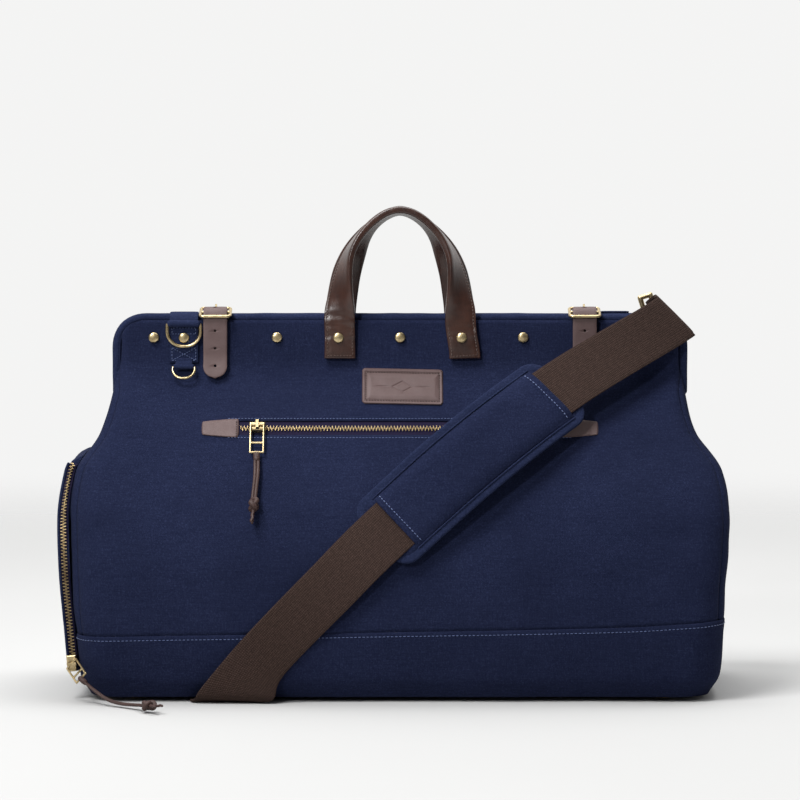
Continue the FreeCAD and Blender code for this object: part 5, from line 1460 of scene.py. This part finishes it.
def flat_pad(half, length):
    """The pad before it is stuffed: a thin rounded slab, lying flat along Y from 0."""
    skin = PAD_SKIN * 0.42
    outline = pad_outline(half, length)
    count = len(outline)
    points = [(x, y, side * skin) for side in (-1, 1) for x, y, _, _ in outline]
    faces = [tuple(range(count))[::-1], tuple(range(count, 2 * count))]
    faces += [(i, (i + 1) % count, count + (i + 1) % count, count + i) for i in range(count)]
    return mesh_piece("shoulder_pad_cloth", points, faces, NAVY)


def stuffed(piece, cap):
    """The piece swollen by its stuffing in a short cloth simulation; no point moves more than cap."""
    modify(piece, "REMESH", mode="VOXEL", voxel_size=mm(3.2))
    applied(piece)
    before = np.array([v.co for v in piece.data.vertices])
    cloth = modify(piece, "CLOTH").settings
    configure(cloth, {"use_pressure": True, "uniform_pressure_force": 4})
    cloth.effector_weights.gravity = 0
    scene = bpy.context.scene
    for step in range(1, 21):
        scene.frame_set(step)
    applied(piece)
    scene.frame_set(1)
    moved = np.array([v.co for v in piece.data.vertices]) - before
    far = np.linalg.norm(moved, axis=1)
    moved *= np.minimum(1, cap / np.maximum(far, 1e-9))[:, None]
    for vertex, place in zip(piece.data.vertices, before + moved):
        vertex.co = place
    modify(piece, "SUBSURF", levels=1, render_levels=1)
    return applied(piece)


def pad_body(band, start, length):
    """The stuffed cloth, made flat (X across, Y along) and then laid along the strap."""
    pad = flat_pad(PAD_HALF - PAD_SEAM, length - 2 * PAD_SEAM)
    pad.data.transform(Matrix.Translation((0, PAD_SEAM, 0)))
    for vertex in stuffed(pad, mm(2.2)).data.vertices:
        x, y, z = vertex.co
        vertex.co = band.at(x, start + y, z - PAD_DROP)
    pad.data.shade_smooth()
    settle(pad, "bag", "canvas", "shoulder_pad")


def pad_binding(band, start, length):
    section = rounded_section(BINDING_HALF, BINDING_HALF_SKIN, 14, 0.5)
    outline = pad_outline(PAD_HALF - BINDING_HALF, length - 2 * BINDING_HALF)
    points = []
    for x, y, nx, ny in outline:
        for a, b in section:
            v = start + BINDING_HALF + y + ny * a
            points.append(band.at(x + nx * a, v, b - PAD_DROP + mm(0.5)))
    faces = loop_faces(len(outline), len(section))
    settle(mesh_piece("pad_binding", points, faces, EDGE_NAVY), "bag", "canvas")


def pad_sleeve(band, low, high):
    """The sleeve over the strap that holds the pad: hemmed ends, and a seam down each side."""

    def at(u, v):
        hem = mm(0.7) * (1 - smoothstep(*mm(6.5, 8), min(v - low, high - v)))
        pull = mm(0.4) * noise.noise((u * 2, v * 30, 9.1))
        raised = (mm(5.2) + hem + pull) * (1 - abs(u) ** 5)
        return Vector(band.at(u * SLEEVE_HALF, v, raised - mm(2.2)))

    sleeve = surface("pad_sleeve_cloth", at, spread(-1, 1, 45), spread(low, high, 84), NAVY)
    settle(thicken(sleeve, mm(1.0)), "bag", "canvas", "pad_sleeve")
    lines = []
    for v in (low + SLEEVE_HEM, high - SLEEVE_HEM):
        proud = Vector(band.mix(band.normal, v)) * mm(0.3)
        lines.append([at(u, v) + proud for u in spread(-0.93, 0.93, 30)])
    settle(stitches("sleeve_stitches", lines, BLUE_THREAD, mm(3.4), mm(0.48)), "bag")
    for word, side in (("upper", -1), ("lower", 1)):
        edge = [band.at(side * (SLEEVE_HALF + mm(0.4)), v, mm(-1.5)) for v in spread(low, high, 70)]
        settle(tube(f"sleeve_{word}_seam", edge, mm(0.9), EDGE_NAVY, sides=8), "bag", "canvas")


def shoulder_pad(band):
    """The pad behind the strap, its bound edge, and the sleeve over the strap that holds it."""
    start, end = band.station(PAD_FROM) - mm(2), band.station(PAD_TO) + mm(2)
    pad_body(band, start, end - start)
    pad_binding(band, start, end - start)
    pad_sleeve(band, start + SLEEVE_LOW, end - SLEEVE_HIGH)


# ---------------------------------------------------------------- zip pulls' thongs
STRAND_RADIUS = mm(1.5)
STRAND_OFFSET = mm(1.4)
COLLAR_RADIUS = mm(3.1)
PULL_LENGTH = mm(29)
KNOT_SIZE = mm(2.1)
KNOT_CORD, TAIL_CORD = mm(2.4, 1.7)  # radii of the lace in the knot and in its tails
FRONT_THONG = [mm(-130.4, -90.4, 208.5), mm(-131.6, -98.2, 196), mm(-132.8, -105.2, 184)]
END_THONG = [
    mm(-275, -134, 11.5),
    mm(-262.5, -144.5, 5),
    mm(-249, -155, 3.3),
    mm(-236.5, -167, 4.4),
    mm(-227.5, -181, 5.7),
]


def route_line(name, points):
    """The points of the smooth curve that a thong follows."""
    curve = bpy.data.curves.new(name, "CURVE")
    configure(curve, {"dimensions": "3D", "resolution_u": 12})
    run = curve.splines.new("NURBS")
    run.points.add(len(points) - 1)
    for point, place in zip(run.points, points):
        point.co = (*place, 1)
    configure(run, {"order_u": 3, "use_endpoint_u": True})
    holder = bpy.data.objects.new(name, curve)
    mesh = bpy.data.meshes.new_from_object(holder)
    line = [tuple(v.co) for v in mesh.vertices]
    bpy.data.objects.remove(holder)
    return line


def thong(word, body, joint, down, end_points):
    """A leather lace looped on its pull: two strands, a wrapped collar and a knot with two tails."""
    down = Vector(down).normalized()
    start = joint_place(joint) + down * (PULL_LENGTH + mm(4.4))
    path = evenly(route_line(f"{word}_thong_route", [start, *end_points]), mm(1.2))
    _, right, up = frames_along(path)
    pieces = []
    for side in (-STRAND_OFFSET, STRAND_OFFSET):
        strand = []
        for i, place in enumerate(path):
            turn = 0.5 * math.sin(i / len(path) * 2.2)
            strand.append(place + (right[i] * math.cos(turn) + up[i] * math.sin(turn)) * side)
        pieces.append(tube("strand", strand, STRAND_RADIUS, THONG_HIDE, sides=10, flatten=0.8))
    collar = [path[0] + (path[1] - path[0]) * s for s in np.linspace(-1.6, 2.2, 8)]
    pieces.append(tube("collar", collar, COLLAR_RADIUS, THONG_HIDE, flatten=0.82))
    lace = settle(merged(f"{word}_thong_lace", pieces), body, "thong_leather", f"{word}_pull_thong")
    knot = lace_knot(word, body, path[-1], path[-1] - path[-3])


def lace_knot(word, body, place, along):
    """An overhand knot drawn tight, with its two cut tails."""
    along = along / np.linalg.norm(along)
    side = np.cross(along, (0.0, 0.0, 1.0) if abs(along[2]) < 0.8 else (1.0, 0.0, 0.0))
    side /= np.linalg.norm(side)
    up = np.cross(side, along)
    centre = place + along * mm(5.6) + up * mm(0.5)
    loop = []
    for t in np.linspace(0, 2 * math.pi, 90, endpoint=False):
        a = (math.sin(t) + 2 * math.sin(2 * t)) * KNOT_SIZE
        b = (math.cos(t) - 2 * math.cos(2 * t)) * KNOT_SIZE
        c = -math.sin(3 * t) * KNOT_SIZE * 1.1
        loop.append(centre + side * a * 0.85 + along * b * 0.85 + up * c)
    pieces = [tube("turns", loop + loop[:1], KNOT_CORD, THONG_HIDE, sides=12)]
    for spread_out, reach in ((-0.30, 15.5), (0.22, 17.5)):
        tail = []
        for s in np.linspace(2, reach, 9):
            bend = up * mm(0.35) * math.sin(s)
            tail.append(centre + along * mm(s) + side * mm(s) * spread_out + bend)
        pieces.append(tube("tail", tail, TAIL_CORD, THONG_HIDE, sides=8, flatten=0.7))
    return settle(merged(f"{word}_lace_knot", pieces), body, "thong_leather", f"{word}_pull_knot")


# ---------------------------------------------------------------- CAD parts that show as they are


BRASS_PARTS = [f"{side}_{part}" for part in ("buckle", "prong") for side in ("left", "right")]
BRASS_PARTS += [f"{end}_{size}_ring" for end in ("front", "rear") for size in ("large", "small")]
BRASS_PARTS += [f"{end}_zip_{part}" for end in ("front", "end") for part in ("slider", "pull")]
BRASS_PARTS += ["base_feet", "free_hook", "ring_hook"]
CARRIED = [
    ("brass", BRASS, BRASS_PARTS),
    ("frame_steel", STEEL, ["front_frame_bar", "rear_frame_bar", "frame_pivot_pins"]),
    ("board", BOARD, ["base_board"]),
    ("strap_leather", STRAP_HIDE, ["buckle_chapes"]),
]


def carried_parts():
    for slot, material, names in CARRIED:
        for name in names:
            node = frame["nodes"][name]
            node.data.materials.clear()
            node.data.materials.append(material)


camera()
studio()
thong("front", "front_pull", "pocket_pull_swing", (0, -0.558, -0.83), FRONT_THONG)
thong("end", "end_pull", "end_pull_swing", (0.36, -0.87, -0.337), END_THONG)
front_wall()
rear_wall()
end_walls()
base_band()
bottom_cloth()
lining_bag()
pouch()
rims()
mouth_pleats()
rivets()
closing_straps()
handles()
ring_tab()
leather_patch()
front_zip()
end_pocket()
strap_band = Band(strap_route())
shoulder_strap(strap_band)
shoulder_pad(strap_band)
carried_parts()
